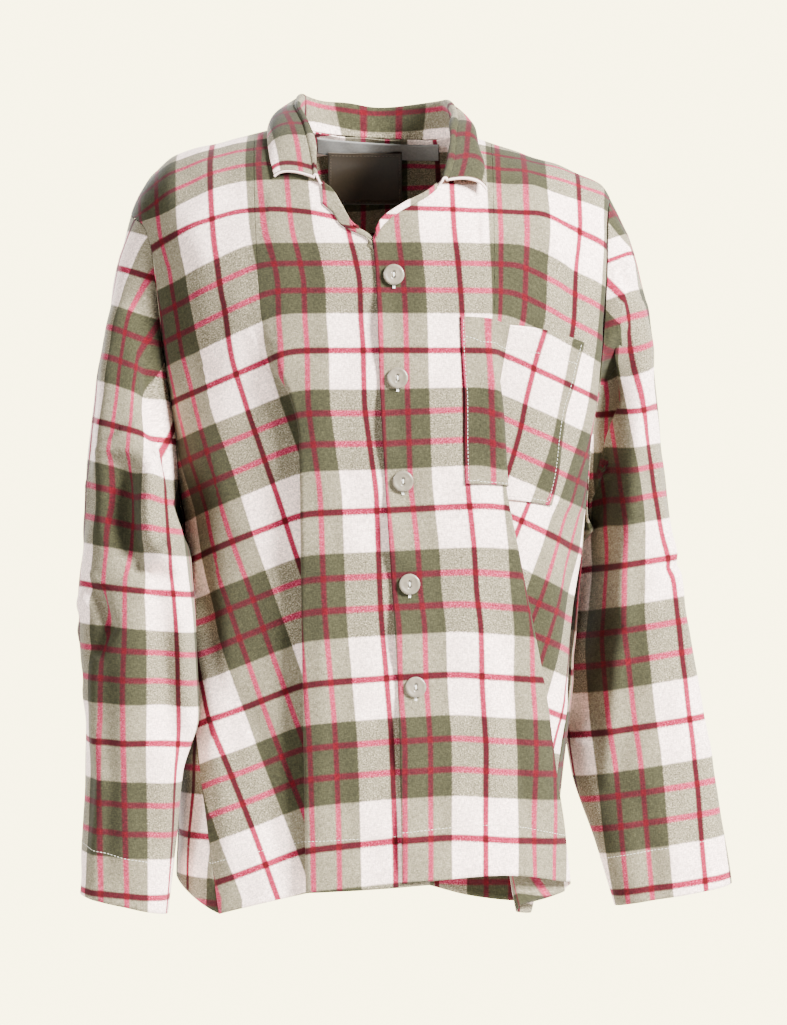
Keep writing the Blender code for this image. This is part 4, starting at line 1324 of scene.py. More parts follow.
# ---------------------------------------------------------------- sleeves
@dataclass
class Sleeve:
    """A set-in sleeve, lofted from its armhole to its open cuff."""

    name: str
    side: Side
    front: Front
    back: Back
    rings: Table
    wefts: Table
    warps: Table
    creases: tuple[Crease, ...]
    flat: tuple[float, float]
    columns: int = 150
    rows: tuple[int, int] = (46, 185)
    head: float = 0.14  # share of the sleeve over which the cap eases from the armhole into the tube
    guide_place: float = 0.0  # where the guide warp lies, counted in repeats
    clear: tuple[float, float] = (0.0010, 0.0050)  # gap to the armhole at the shoulder and at the underarm
    tuck: tuple[float, float] = (0.0, 0.0)  # how far the cap's front goes under the body: sideways and back
    hidden: float = 0.0  # cloth that a fold next to the guide warp takes up

    def armhole(self) -> Array:
        """Points round the armhole: from the shoulder tip down the front to the underarm, and up the back.

        Returns:
            A closed line, evenly spaced in each of its halves.
        """
        tip = SHOULDER_TIPS[self.side]
        height = tip - np.linspace(0, 1, 90) ** 1.5 * (tip - UNDERARM)
        before = self.front.point(np.ones_like(height), height)
        behind = self.back.point(np.full_like(height, 0.0 if self.side is Side.RIGHT else 1.0), height)
        line = np.concatenate([before, behind[-2::-1]])
        length = lengths_along(line)
        share = np.linspace(0, 1, self.columns // 2 + 1)
        down = length[len(height) - 1]
        places = np.concatenate([share * down, down + share[1:] * (length[-1] - down)])
        return at_lengths(line, length, places)

    def tube(self, along: Array, angle: Array) -> Array:
        """A point of the tube, whose slanting rings are squarer than ellipses.

        Args:
            along: share of the sleeve's length.
            angle: 0 outside, 90 degrees at the front, 180 towards the body.

        Returns:
            The point.
        """
        size = {name: self.rings.read(name, along) for name in self.rings.names.split()[1:]}
        sine, cosine = np.sin(angle), np.cos(angle)
        full_cosine, full_sine = cosine * (1 + FULLNESS * sine**2), sine * (1 + FULLNESS * cosine**2)
        out, inner, high, low = size["out_x"], size["in_x"], size["out_height"], size["in_height"]
        x = (out + inner) / 2 + (out - inner) / 2 * full_cosine
        y = size["middle"] + size["lean"] * cosine - size["depth"] * full_sine
        z = (high + low) / 2 + (high - low) / 2 * cosine
        return np.stack([self.side.value * x, y, z], axis=-1)

    def plain(self, along: Array, angle: Array) -> Array:
        """The sleeve without its creases: the tube, its cap drawn into the armhole and tucked under the body.

        Args:
            along: share of the sleeve's length, one for each row.
            angle: angle round the arm, one for each column.

        Returns:
            The points.
        """
        loop = self.armhole()
        tube = self.tube(along + 0 * angle, angle + 0 * along)
        clear = self.clear[0] + (self.clear[1] - self.clear[0]) * (1 - np.cos(angle[0] / 2) ** 4)
        start = loop + unit(tube[0] - loop) * clear[:, None]
        drawn = np.sin(np.pi / 2 * np.clip(along / self.head, 0, 1))[..., None]
        tucked = np.sin(np.pi * np.clip(along / (1.6 * self.head), 0, 1)) * ease(np.sin(angle), 0.05, 0.5)
        tucked = tucked * ease(-np.cos(angle), -0.3, 0.2)
        way = np.array([-self.side.value * self.tuck[0], self.tuck[1], 0.0])
        return start * (1 - drawn) + tube * drawn + tucked[..., None] * way

    def cloth(self) -> Cloth:
        """The sleeve's sheet, closed round the arm, its seam towards the body.

        The front takes the creases as they are, and the back takes them lower, further in and weaker. A
        crease moves the cloth along its normal, but straight back or forth on the front of the arm, and
        hardly sideways next to the body.

        Returns:
            The sheet.
        """
        angle = np.linspace(0, 2 * np.pi, 2 * (self.columns // 2) + 1)[None, :]
        cap, rest = self.rows
        along = np.append(np.linspace(0, self.head, cap)[:-1], np.linspace(self.head, 1, rest))[:, None]
        plain = self.plain(along, angle)
        x, y, z = (plain[..., i] for i in range(3))
        sheet = Cloth(plain, self.weave(plain, along), self.side.value, loop=True)
        course = sheet.normals()
        frontal = np.clip(-course[..., 1], 0, 1) ** 0.5
        behind = ease(y - y.mean(axis=1, keepdims=True), -0.012, 0.012)
        rise = relief(self.creases, x, z) * (1 - behind) * (0.6 + 0.4 * frontal)
        rise = rise + relief(self.creases, x + 0.012, z + 0.03) * behind * 0.6
        rise = (rise + slack(x + y, z, 0.0012)) * ease(along, 0.02, 0.10)
        sideways = (0.12 + 0.88 * ease(np.cos(angle), -0.7, 0.2)) * rise
        forward = ease(np.sin(angle), 0.0, 0.5)
        course[..., 1] = course[..., 1] * (1 - forward) - forward
        sheet.grid = plain + course * np.stack([sideways, rise, sideways], axis=-1)
        sheet.grid[:, -1] = sheet.grid[:, 0]
        return sheet

    def weave(self, plain: Array, along: Array) -> Array:
        """Place in the weave: round the arm from the guide warp, and down it along the sloping wefts.

        The place round the arm is a length in which steps up or down count half. In the cap the guide warp
        keeps to one column. The place down the arm is read from the wefts' levels, after their slope times
        the place sideways is taken off.

        Args:
            plain: the sleeve's points without creases.
            along: share of the sleeve's length, one for each row.

        Returns:
            Metres along weft and warp.
        """
        length = lengths_along(plain * np.array([1.0, 1.0, 0.5]), axis=1)
        sign = self.side.value
        x, z = sign * plain[..., 0], plain[..., 2]
        front = slice(4, self.columns // 2 - 4)
        height = z[:, front].mean(axis=1)
        line = sign * self.warps.read("x", height)
        columns = np.arange(length.shape[1])
        place = np.array([np.interp(-line[i], -x[i, front], columns[front]) for i in range(len(x))])
        head = int(np.searchsorted(along[:, 0], self.head))
        place[:head] = place[head]
        guide = np.array([np.interp(place[i], columns, length[i]) for i in range(len(x))])
        inward = length - guide[:, None]
        inward = inward + self.hidden * ease(inward, 0.003, 0.015) * ease(height, -0.46, -0.36)[:, None]
        around = -sign * inward + self.guide_place * WARP_REPEAT
        middle = (x[:, front].max(axis=1) + x[:, front].min(axis=1))[:, None] / 2
        down = z - self.wefts.read("slope", z) * np.clip(plain[..., 0] - sign * middle, -0.06, 0.06)
        return np.stack([around, self.wefts.read("repeats", down) * WEFT_REPEAT], axis=-1)

    def build(self, wardrobe: Wardrobe) -> Cloth:
        """Makes and dresses the sleeve.

        Args:
            wardrobe: the finishes.

        Returns:
            Its sheet, for the cuff's stitches.
        """
        sheet = self.cloth()
        piece = sheet.object(f"{self.name}_cloth", WALL)
        wardrobe.dress(piece, Finish.FLANNEL, self.name)
        return sheet


# ---------------------------------------------------------------- neck: collar, tape, label
@dataclass
class Collar:
    """The collar: a stand, a roll and a fall that lies open on the fronts."""

    fronts: dict[Side, Front]
    back: Back
    shape: Table
    ends: tuple[float, float] = (-0.0515, 0.0543)  # where the neck seam starts and stops: x
    neck_half: float = 0.0749  # x at which the seam passes from the fronts to the back
    seat_gap: float = 0.0008
    wall: float = 0.0018
    roll_radius: float = 0.0032
    bow: float = 0.007
    shares: tuple[float, float] = (0.34, 0.54)  # of the width, at which the roll starts and ends
    rows: tuple[int, int, int] = (22, 18, 38)
    columns: int = 300
    warp_shift: float = 0.058
    bare: float = 0.0055  # share of the length that the pale edge of each end takes
    bare_place: float = 0.12  # where in the check its yarns lie, counted in repeats
    ripple: float = 0.0011
    weft_along: Table = Table("share weft", (
        (0.0, -0.012), (0.12, 0.045), (0.25, 0.112), (0.33, 0.15), (0.52, 0.225), (0.8, 0.335), (1.0, 0.412),
    ))

    def neck_seam(self, along: Array) -> Array:
        """Points along the neck seam: up the right front, round the back and down the left front.

        Args:
            along: shares of the seam's length, from the wearer's right end.

        Returns:
            The points.
        """
        half = self.neck_half
        right, left = np.linspace(self.ends[0], -half, 30), np.linspace(half, self.ends[1], 30)
        behind = half * np.sin(np.linspace(-np.pi / 2, np.pi / 2, 60))
        pieces = self.fronts[Side.RIGHT], self.back, self.fronts[Side.LEFT]
        parts = []
        for piece, x, turned in zip(pieces, (right, behind, left), (False, True, False)):
            height = np.minimum(piece.top_edge(x), BODY.ridge(x) - 1e-5)
            turn = BODY.turn_at(x, height)
            parts.append(BODY.point(np.pi - turn if turned else turn, height, 0.0))
        line = np.concatenate(parts)
        length = lengths_along(line)
        return at_lengths(line, length, along * length[-1])

    def point(self, along: Array, across: Array) -> Array:
        """A point of the collar: straight up the stand, half a circle over the roll, and a bowed fall.

        Args:
            along: share of the neck seam's length.
            across: share of the width, from the seam to the outer edge.

        Returns:
            The point.
        """
        seam_points = self.neck_seam(along)
        base, out = BODY.roof(seam_points[..., 0], seam_points[..., 1])
        base = base + out * self.seat_gap
        roll = np.stack([self.shape.read(name, along) for name in ("roll_x", "roll_y", "roll_z")], axis=-1)
        edge, out = BODY.roof(self.shape.read("edge_x", along), self.shape.read("edge_y", along))
        edge = edge + out * self.shape.read("lift", along)[..., None]
        level = unit((edge - roll) * np.array([1.0, 1.0, 0.0]))
        up = np.array([0.0, 0.0, 1.0])
        radius = (self.roll_radius * (0.55 + 0.45 * np.sin(np.pi * along) ** 0.5))[..., None]
        across = across[..., None]
        start, stop = self.shares
        stand = np.clip(across / start, 0, 1)
        bend = np.pi * np.clip((across - start) / (stop - start), 0, 1)
        fall = np.clip((across - stop) / (1 - stop), 0, 1)
        top = roll - up * radius
        on_stand = base + (top - base) * stand
        on_roll = top + radius * (level * (1 - np.cos(bend)) + up * np.sin(bend))
        far = top + 2 * radius * level
        on_fall = far + (edge - far) * fall + self.bow * 4 * fall * (1 - fall) * (0.7 * up + 0.7 * level)
        return np.where(across <= start, on_stand, np.where(across < stop, on_roll, on_fall))

    def build(self, wardrobe: Wardrobe) -> None:
        """Makes and dresses the collar, whose warps run round the neck and whose wefts run down the fall.

        Args:
            wardrobe: the finishes.
        """
        stand, roll, fall = self.rows
        across = np.concatenate([
            np.linspace(0, self.shares[0], stand)[:-1],
            np.linspace(self.shares[0], self.shares[1], roll)[:-1],
            np.linspace(self.shares[1], 1, fall),
        ])
        along, wide = np.meshgrid(np.linspace(0, 1, self.columns), across)
        plain = self.point(along, wide)
        on_top = stand + roll // 2 - 2
        drop = lengths_along(plain)
        drop = drop - drop[on_top]
        run = np.broadcast_to(lengths_along(plain[on_top]), drop.shape)
        weave = np.stack([drop + self.warp_shift, self.weft_along.read("weft", run / run[0, -1])], axis=-1)
        bare_end = (along < self.bare) | (along > 1 - self.bare)
        weave = np.where(bare_end[..., None], self.bare_place * np.array([WARP_REPEAT, WEFT_REPEAT]), weave)
        sheet = Cloth(plain, weave, 1)
        wave = self.ripple * np.sin(run * 71 + 1.3 * np.sin(run * 29)) * np.sin(np.pi * wide)
        sheet.grid = plain - sheet.normals() * wave[..., None]
        piece = sheet.object("collar_cloth", self.wall)
        wardrobe.dress(piece, Finish.FLANNEL, "collar")


@dataclass
class NeckTrims:
    """The tape over the neck seam inside the back, and the bare satin label sewn under it."""

    # half its length, how far its two edges lie below the neckline, and how far in from the cloth it lies
    tape: tuple[float, float, float, float] = (0.0600, 0.0015, 0.0150, 0.0039)
    # its left, right, upper and lower edge, and how far in from the cloth it lies
    label: tuple[float, float, float, float, float] = (-0.0500, 0.0240, 0.0088, -0.0385, 0.0057)
    stitch_inset: float = 3.0  # how many rows and columns the stitches lie in from the label's edges

    def inside(self, x: Array, height: Array, inset: Array) -> Array:
        """Points on the inner side of the back near the neck.

        Args:
            x: their sideways places.
            height: heights on the body's section.
            inset: how far in from the cloth's middle they lie.

        Returns:
            The points.
        """
        grid = BODY.point(np.pi - BODY.turn_at(x, height), height, 0.0)
        middle, out = BODY.roof(grid[..., 0], grid[..., 1])
        return middle - out * inset[..., None]

    def build(self, back: Back, wardrobe: Wardrobe) -> None:
        """Makes and dresses the tape, puffed a little along its middle, and then the label.

        Args:
            back: the back.
            wardrobe: the finishes.
        """
        half, first, last, inset = self.tape
        x, share = np.meshgrid(np.linspace(-1, 1, 110) * half, np.linspace(0, 1, 12))
        puff = inset + 0.0005 * np.sin(np.pi * share) + 0.0003 * np.sin(x * 230) * np.sin(np.pi * share)
        grid = self.inside(x, back.top_edge(x) - first - (last - first) * share, puff)
        tape = Cloth(grid, np.stack([x, share * (last - first)], axis=-1), -1)
        piece = tape.object("neck_tape_cloth", 0.0010)
        # the tape's grey is painted shade over its own white
        wardrobe.dress(piece, Finish.TAPE, "neck_tape")
        self.build_label(wardrobe)

    def build_label(self, wardrobe: Wardrobe) -> None:
        """Makes and dresses the label, puffed a little in its middle, and the stitches along its sides.

        Args:
            wardrobe: the finishes.
        """
        left, right, top, bottom, inset = self.label
        x, height = np.meshgrid(np.linspace(left, right, 90), np.linspace(top, bottom, 60))
        u, v = (x - left) / (right - left), (top - height) / (top - bottom)
        puff = (0.0006 * np.sin(np.pi * v) + 0.0003 * np.sin(9 * u + 4 * v)) * np.sin(np.pi * u)
        label = Cloth(self.inside(x, height, inset + puff), np.stack([x, height], axis=-1), -1)
        piece = label.object("label_satin", 0.0008)
        wardrobe.dress(piece, Finish.SATIN, "label")
        low, high = self.stitch_inset, np.array(x.shape) - 1 - self.stitch_inset
        corners = np.array([[low, low], [low, high[1]], [high[0], high[1]], [high[0], low]])
        t = np.linspace(0, 1, 60)[:, None]
        parts = []
        for first, last in zip(corners, np.roll(corners, -1, axis=0)):
            path = first + (last - first) * t
            parts.append(Stitching().points(*seam(label, path[:, 0], path[:, 1], 0.0005)))
        wardrobe.dress(joined("label_stitches", parts), Finish.DARK_THREAD)


# ---------------------------------------------------------------- pocket
@dataclass
class Pocket:
    """The breast pocket, sewn over the left front's deep fold."""

    edges: Table
    sides: Table
    shares: tuple[tuple[float, ...], tuple[float, ...]]
    layer: float = 0.0028
    mouth: float = 0.0012  # how much further the upper edge stands off in its middle
    drawn: float = 0.0007  # how much the stitches draw the other edges in
    counts: tuple[int, int] = (110, 110)
    shifts: tuple[float, float] = (0.051, 0.031)  # of its check sideways, before and behind the fold

    def side_place(self, front: Front, name: str, height: Array) -> Array:
        """Share across the left front at which one side of the pocket lies.

        Args:
            front: the left front.
            name: the side's column in the table.
            height: heights of the points.

        Returns:
            The shares.
        """
        first, crest, start, stop, last = front.turns(height)
        turn = BODY.turn_at(self.sides.read(name, height), height)
        if name == "inner":
            return FOLD_FROM * (turn - first) / (crest + start - first)
        return FOLD_TO + (1 - FOLD_TO) * (turn - crest - stop) / (last - crest - stop)

    def build(self, front: Front, sheet: Cloth, wardrobe: Wardrobe) -> Cloth:
        """The pocket's sheet: the left front's own points between the pocket's sides, moved out.

        Args:
            front: the left front.
            sheet: its cloth.
            wardrobe: the finishes.

        Returns:
            The sheet, for its stitches.
        """
        across = front.across()
        columns, index = np.arange(len(across), dtype=float), np.arange(len(sheet.grid), dtype=float)
        share, t = np.linspace(0, 1, self.counts[0]), np.linspace(0, 1, self.counts[1])[:, None]
        height = sheet.grid[:, len(across) // 2, 2]
        places = (self.side_place(front, name, height) for name in ("inner", "outer"))
        inner, outer = (np.interp(place, across, columns)[:, None] for place in places)
        column = inner + (outer - inner) * share
        down = between(sheet.grid[..., 2], np.broadcast_to(index[:, None], column.shape), column)
        place = np.interp(np.interp(column[len(height) // 3], columns, across), *self.shares)
        ends = []
        for name in ("top", "bottom"):
            edge = self.edges.read(name, place)
            ends.append(np.array([np.interp(-edge[i], -down[:, i], index) for i in range(len(share))]))
        row = ends[0] + t * (ends[1] - ends[0])
        column = np.stack([np.interp(row[:, i], index, column[:, i]) for i in range(len(share))], axis=1)
        out = unit(between(sheet.normals(), row, column))
        gap = self.layer + self.mouth * np.exp(-((t / 0.10) ** 2)) * np.sin(np.pi * share)
        edge_near = np.minimum(np.minimum(share, 1 - share) * 8, (1 - t) * 8)
        gap = gap - self.drawn * np.exp(-(edge_near**2))
        near, far = self.shifts
        moved = near + (far - near) * ease(np.interp(column, columns, across), FOLD_FROM, FOLD_TO)
        weave = between(sheet.weave, row, column) + np.stack([moved, 0 * moved], axis=-1)
        pocket = Cloth(between(sheet.grid, row, column) + out * gap[..., None], weave, sheet.facing)
        piece = pocket.object("pocket_cloth", THIN_WALL)
        wardrobe.dress(piece, Finish.FLANNEL, "pocket")
        return pocket


# ---------------------------------------------------------------- buttons
@dataclass(frozen=True)
class Buttons:
    """Five shell buttons with two holes, sewn through the closing edge over their buttonholes."""

    first: float = -0.127
    pitch: float = 0.0942
    count: int = 5
    inset: float = 0.0163
    seat: float = 0.0014
    radius: float = 0.0096
    thick: float = 0.0030
    hole: float = 0.0014
    hole_spacing: float = 0.0044
    sides: int = 48
    # rings of the disc's top in shares of the radius, and the rim's outline: such shares and heights
    rings: tuple[float, ...] = (
        0, 0.08, 0.16, 0.22, 0.28, 0.34, 0.42, 0.5, 0.58, 0.64, 0.7, 0.76, 0.84, 0.92, 0.97, 1
    )
    outline: tuple[tuple[float, ...], tuple[float, ...]] = (
        (0, 0.55, 0.62, 0.74, 0.86, 0.94, 1.0), (0.80, 0.80, 0.82, 0.94, 1.0, 0.93, 0.62)
    )
    strands: float = 0.00055  # between the two strands of thread
    thread: float = 0.00034  # radius of the strands and of the buttonhole's bars
    buttonhole: tuple[float, float] = (-0.0122, 0.0085)  # its two ends, up the cloth from the button

    def frame_at(self, number: int) -> tuple[Array, Array, Array, Array]:
        """Where a button sits.

        Args:
            number: the button, counted from the top.

        Returns:
            Its place, and the directions along the cloth, up it and out of it.
        """
        height = np.array([self.first - number * self.pitch])
        x = CLOSING_EDGE.read("x", height) + self.inset

        def front_at(place: Array, level: Array) -> Array:
            """Point of the front's plain section."""
            return BODY.point(BODY.turn_at(place, level), level, 0.0)[0]

        around = front_at(x + self.radius, height) - front_at(x - self.radius, height)
        down = front_at(x, height - self.radius) - front_at(x, height + self.radius)
        out = unit(np.cross(down, around))
        side = unit(around)
        return front_at(x, height) + out * self.seat, side, np.cross(out, side), out

    def disc(self) -> tuple[Array, Faces]:
        """A turned disc with a raised rim and two dimples where the holes are.

        Its height is a function of the distance from the axis; each hole lowers it by a steep bell.

        Returns:
            The disc's points and faces.
        """
        turn = np.linspace(0, 2 * np.pi, self.sides, endpoint=False)
        rings = np.array(self.rings)[:, None]
        x, y = rings * np.cos(turn) * self.radius, rings * np.sin(turn) * self.radius
        top = np.interp(rings, *self.outline) * self.thick + 0 * x
        for sign in (-1, 1):
            away = np.hypot(x, y - sign * self.hole_spacing / 2)
            top = top - 0.70 * self.thick * np.exp(-((away / self.hole) ** 4))
        upper = np.stack([x, y, top], axis=-1)
        rim = upper[-1:] * np.array([1, 1, 0]) + np.array([0, 0, 0.25 * self.thick])
        low, middle = (upper[-1:] * np.array([size, size, 0]) for size in (0.92, 0.001))
        grid = np.concatenate([upper, rim, low, middle])
        return grid.reshape(-1, 3), ring_faces(len(grid), self.sides)

    def build(self, wardrobe: Wardrobe) -> None:
        """Makes and dresses the buttons, their threads and their buttonholes.

        Args:
            wardrobe: the finishes.
        """
        points, faces = self.disc()
        bar = Stitching(length=1, radius=self.thread)
        strand = Stitching(length=1, radius=self.thread, flatness=1.0)
        threads, holes = [], []
        for number in range(self.count):
            place, side, up, out = self.frame_at(number)
            piece = surface_object(f"shell_{number + 1}", points @ np.stack([side, up, out]) + place, faces)
            weld(piece.data, 2e-5)
            wardrobe.dress(piece, Finish.SHELL, f"button_{number + 1}")
            level = place + out * 0.0021 + side * (np.array([-0.5, 0.5]) * self.strands)[:, None]
            first, last = level - up * self.hole_spacing * 0.56, level + up * self.hole_spacing * 0.56
            threads.append(strand.bars(first, last, level, np.broadcast_to(out, level.shape)))
            rows = np.linspace(*self.buttonhole, 36)
            for column in (-0.0006, 0.0006):
                centre = place - out * 0.0004 + up * rows[:, None] + side * column
                lip = side * 0.0007
                holes.append(bar.bars(centre - lip, centre + lip, centre, np.broadcast_to(out, centre.shape)))
        for name, parts in (("button_threads", threads), ("buttonholes", holes)):
            wardrobe.dress(joined(name, parts), Finish.THREAD)


# ---------------------------------------------------------------- seams' stitches
@dataclass(frozen=True)
class Seams:
    """The stitching that shows on the hems, the cuffs and the pocket."""

    stitch: Stitching = Stitching()
    inset: float = 2.2  # how many rows and columns the pocket's stitches lie in from its edges
    mouth: float = 0.155  # share of the pocket's height at which its top is stitched down

    def hem_row(self, cloth: Cloth, depth: float) -> Array:
        """Fractional rows that lie above the bottom edge by a length along the cloth.

        Args:
            cloth: the sheet.
            depth: the length.

        Returns:
            The row in each column.
        """
        steps = np.linalg.norm(np.diff(cloth.grid, axis=0), axis=-1)
        up = np.concatenate([np.cumsum(steps[::-1], axis=0)[::-1], 0 * steps[:1]])
        index = np.arange(len(up), dtype=float)
        return np.array([np.interp(-depth, -up[:, i], index) for i in range(up.shape[1])])

    def build(self, sheets: dict[str, Cloth], pocket: Cloth, wardrobe: Wardrobe) -> None:
        """Makes and dresses the stitches of hems, cuffs and pocket.

        Args:
            sheets: the sheets that end in a hem, by name.
            pocket: the pocket's sheet.
            wardrobe: the finishes.
        """
        for name, cloth in sheets.items():
            column = np.arange(cloth.grid.shape[1], dtype=float)
            line = seam(cloth, self.hem_row(cloth, HEM_DEPTH), column, WALL / 2)
            wardrobe.dress(joined(f"{name}_hem_stitches", [self.stitch.points(*line)]), Finish.PALE_THREAD)
        rows, columns = pocket.grid.shape[:2]
        bottom, right = rows - 1 - self.inset, columns - 1 - self.inset
        t = np.linspace(0, 1, 120)
        across = self.inset + t * (columns - 1 - 2 * self.inset)
        paths = (
            (self.inset + t * (rows - 1 - 2 * self.inset), np.full_like(t, self.inset)),
            (np.full_like(t, bottom), across),
            (bottom * (1 - t) + self.inset * t, np.full_like(t, right)),
            (np.full_like(t, self.mouth * rows), across),
        )
        parts = [self.stitch.points(*seam(pocket, row, column, 0.0006)) for row, column in paths]
        wardrobe.dress(joined("pocket_stitches", parts), Finish.PALE_THREAD)


# ---------------------------------------------------------------- this garment's own sizes
RIGHT_FRONT = Front(
    name="front_right",
    side=Side.RIGHT,
    folds=Table("height crest middle turned", (
        (0.05, 0.118, 0.0, 2), (-0.15, 0.108, 0.0, 4), (-0.21, 0.096, 0.001, 70),
        (-0.236, 0.081, 0.003, 115), (-0.273, 0.0715, 0.008, 150), (-0.31, 0.0705, 0.014, 164),
        (-0.43, 0.069, 0.03, 169), (-0.56, 0.067, 0.046, 170), (-0.72, 0.0645, 0.064, 170),
    )),
    neckline=Table("x height", (
        (-0.075, 0.025), (-0.066, -0.012), (-0.0515, -0.0405), (-0.0414, -0.049), (-0.034, -0.0611),
        (-0.0239, -0.0786), (-0.0046, -0.096), (0.001, -0.104), (0.03, -0.115),
    )),
    hem=Table("across height", (
        (0.0, -0.685), (0.2, -0.69), (0.38, -0.6925), (0.62, -0.67), (0.8, -0.69), (1.0, -0.714),
    )),
    facing_name="facing_right",
    facing=Table("x depth", ((-0.0505, 0.02), (-0.034, 0.0215), (-0.016, 0.013), (-0.005, 0.0115))),
    warps=Table("height middle side", (
        (-0.02, -0.034, -0.156), (-0.084, -0.027, -0.151), (-0.113, -0.02, -0.147), (-0.136, -0.016, -0.144),
        (-0.166, -0.015, -0.139), (-0.195, -0.013, -0.135), (-0.24, -0.012, -0.123),
        (-0.283, -0.007, -0.108), (-0.33, -0.001, -0.092), (-0.383, 0.001, -0.075), (-0.433, 0.003, -0.057),
        (-0.493, 0.008, -0.036), (-0.556, 0.013, -0.013), (-0.643, 0.016, 0.021), (-0.7, 0.017, 0.042),
    )),
    drops=Table("height middle side bend", (
        (0.0, 0.0, 0.33, -0.135), (-0.07, 0.0, 0.33, -0.131), (-0.118, 0.0, 0.37, -0.106),
        (-0.196, 0.0, 0.38, -0.0805), (-0.256, 0.0, 0.38, -0.072), (-0.343, 0.04, 0.35, -0.069),
        (-0.424, 0.05, 0.34, -0.067), (-0.495, 0.075, 0.32, -0.066), (-0.582, 0.075, 0.32, -0.065),
        (-0.643, 0.1, 0.29, -0.064),
    )),
    creases=(
        Crease(((-0.175, -0.05), (-0.16, -0.1), (-0.14, -0.15)), 0.003, 0.016),
        Crease(((-0.19, -0.11), (-0.175, -0.17), (-0.165, -0.23)), -0.004, 0.012),
        Crease(((-0.115, -0.17), (-0.1, -0.215), (-0.09, -0.25)), 0.003, 0.008),
        Crease(((-0.17, -0.26), (-0.14, -0.33), (-0.115, -0.4)), 0.003, 0.012),
        Crease(((-0.185, -0.34), (-0.165, -0.42), (-0.145, -0.52)), -0.004, 0.012),
        Crease(((-0.16, -0.47), (-0.15, -0.56), (-0.135, -0.68)), 0.004, 0.012),
        Crease(((-0.115, -0.52), (-0.1, -0.6), (-0.09, -0.68)), -0.003, 0.01),
        Crease(((-0.03, -0.26), (-0.028, -0.4), (-0.03, -0.56), (-0.03, -0.69)), -0.0015, 0.013),
        Crease(((-0.048, -0.3), (-0.05, -0.45), (-0.052, -0.69)), 0.0015, 0.008),
    ),
    flat=(0.42, 0.78),
)
LEFT_FRONT = Front(
    name="front_left",
    side=Side.LEFT,
    folds=Table("height crest middle turned", (
        (0.05, 0.106, 0.0, 2), (-0.16, 0.107, 0.0, 4), (-0.215, 0.11, 0.002, 75), (-0.25, 0.113, 0.007, 130),
        (-0.31, 0.1165, 0.018, 165), (-0.384, 0.13, 0.03, 170), (-0.51, 0.154, 0.046, 171),
        (-0.62, 0.169, 0.064, 171), (-0.72, 0.181, 0.08, 171),
    )),
    neckline=Table("x height", (
        (-0.0055, -0.097), (-0.003, -0.09), (0.0037, -0.0767), (0.0202, -0.0648), (0.0543, -0.0436),
        (0.0665, -0.015), (0.075, 0.017),
    )),
    hem=Table("across height", (
        (0.0, -0.6835), (0.13, -0.6775), (0.3, -0.69), (0.42, -0.696), (0.62, -0.713), (0.84, -0.7175),
        (0.92, -0.701), (1.0, -0.696),
    )),
    facing_name="facing_left",
    facing=Table("x depth", ((-0.0015, 0.007), (0.0202, 0.0048), (0.0543, 0.0045))),
    warps=Table("height middle side", (
        (-0.04, 0.068, 0.188), (-0.083, 0.07, 0.188), (-0.118, 0.074, 0.186), (-0.158, 0.077, 0.184),
        (-0.19, 0.078, 0.18), (-0.26, 0.08, 0.169), (-0.32, 0.082, 0.151), (-0.34, 0.084, 0.144),
        (-0.38, 0.088, 0.128), (-0.415, 0.09, 0.115), (-0.452, 0.094, 0.1), (-0.495, 0.095, 0.085),
        (-0.57, 0.099, 0.058), (-0.61, 0.099, 0.043), (-0.68, 0.099, 0.017),
    )),
    drops=Table("height middle side bend", (
        (0.0, 0.0, 0.3, 0.15), (-0.07, 0.0, 0.35, 0.145), (-0.118, 0.0, 0.42, 0.13),
        (-0.196, 0.0, 0.43, 0.112), (-0.26, -0.05, 0.48, 0.0965), (-0.345, -0.05, 0.48, 0.1),
        (-0.425, -0.05, 0.48, 0.08), (-0.5, -0.05, 0.48, 0.073), (-0.7, -0.05, 0.48, 0.073),
    )),
    creases=(
        Crease(((0.12, -0.02), (0.15, -0.06), (0.175, -0.11)), 0.003, 0.014),
        Crease(((0.195, -0.08), (0.18, -0.14), (0.165, -0.2)), -0.004, 0.012),
        Crease(((0.09, -0.07), (0.105, -0.11), (0.118, -0.15)), -0.002, 0.01),
        Crease(((0.055, -0.33), (0.058, -0.45), (0.062, -0.56), (0.066, -0.68)), -0.002, 0.014),
        Crease(((0.085, -0.35), (0.095, -0.45), (0.11, -0.56), (0.122, -0.68)), 0.002, 0.012),
        Crease(((0.11, -0.43), (0.124, -0.52), (0.14, -0.62), (0.148, -0.69)), -0.003, 0.008),
        Crease(((0.18, -0.34), (0.184, -0.43), (0.186, -0.52)), -0.004, 0.01),
    ),
    flat=(0.44, 0.78),
    calm=0.72,
)
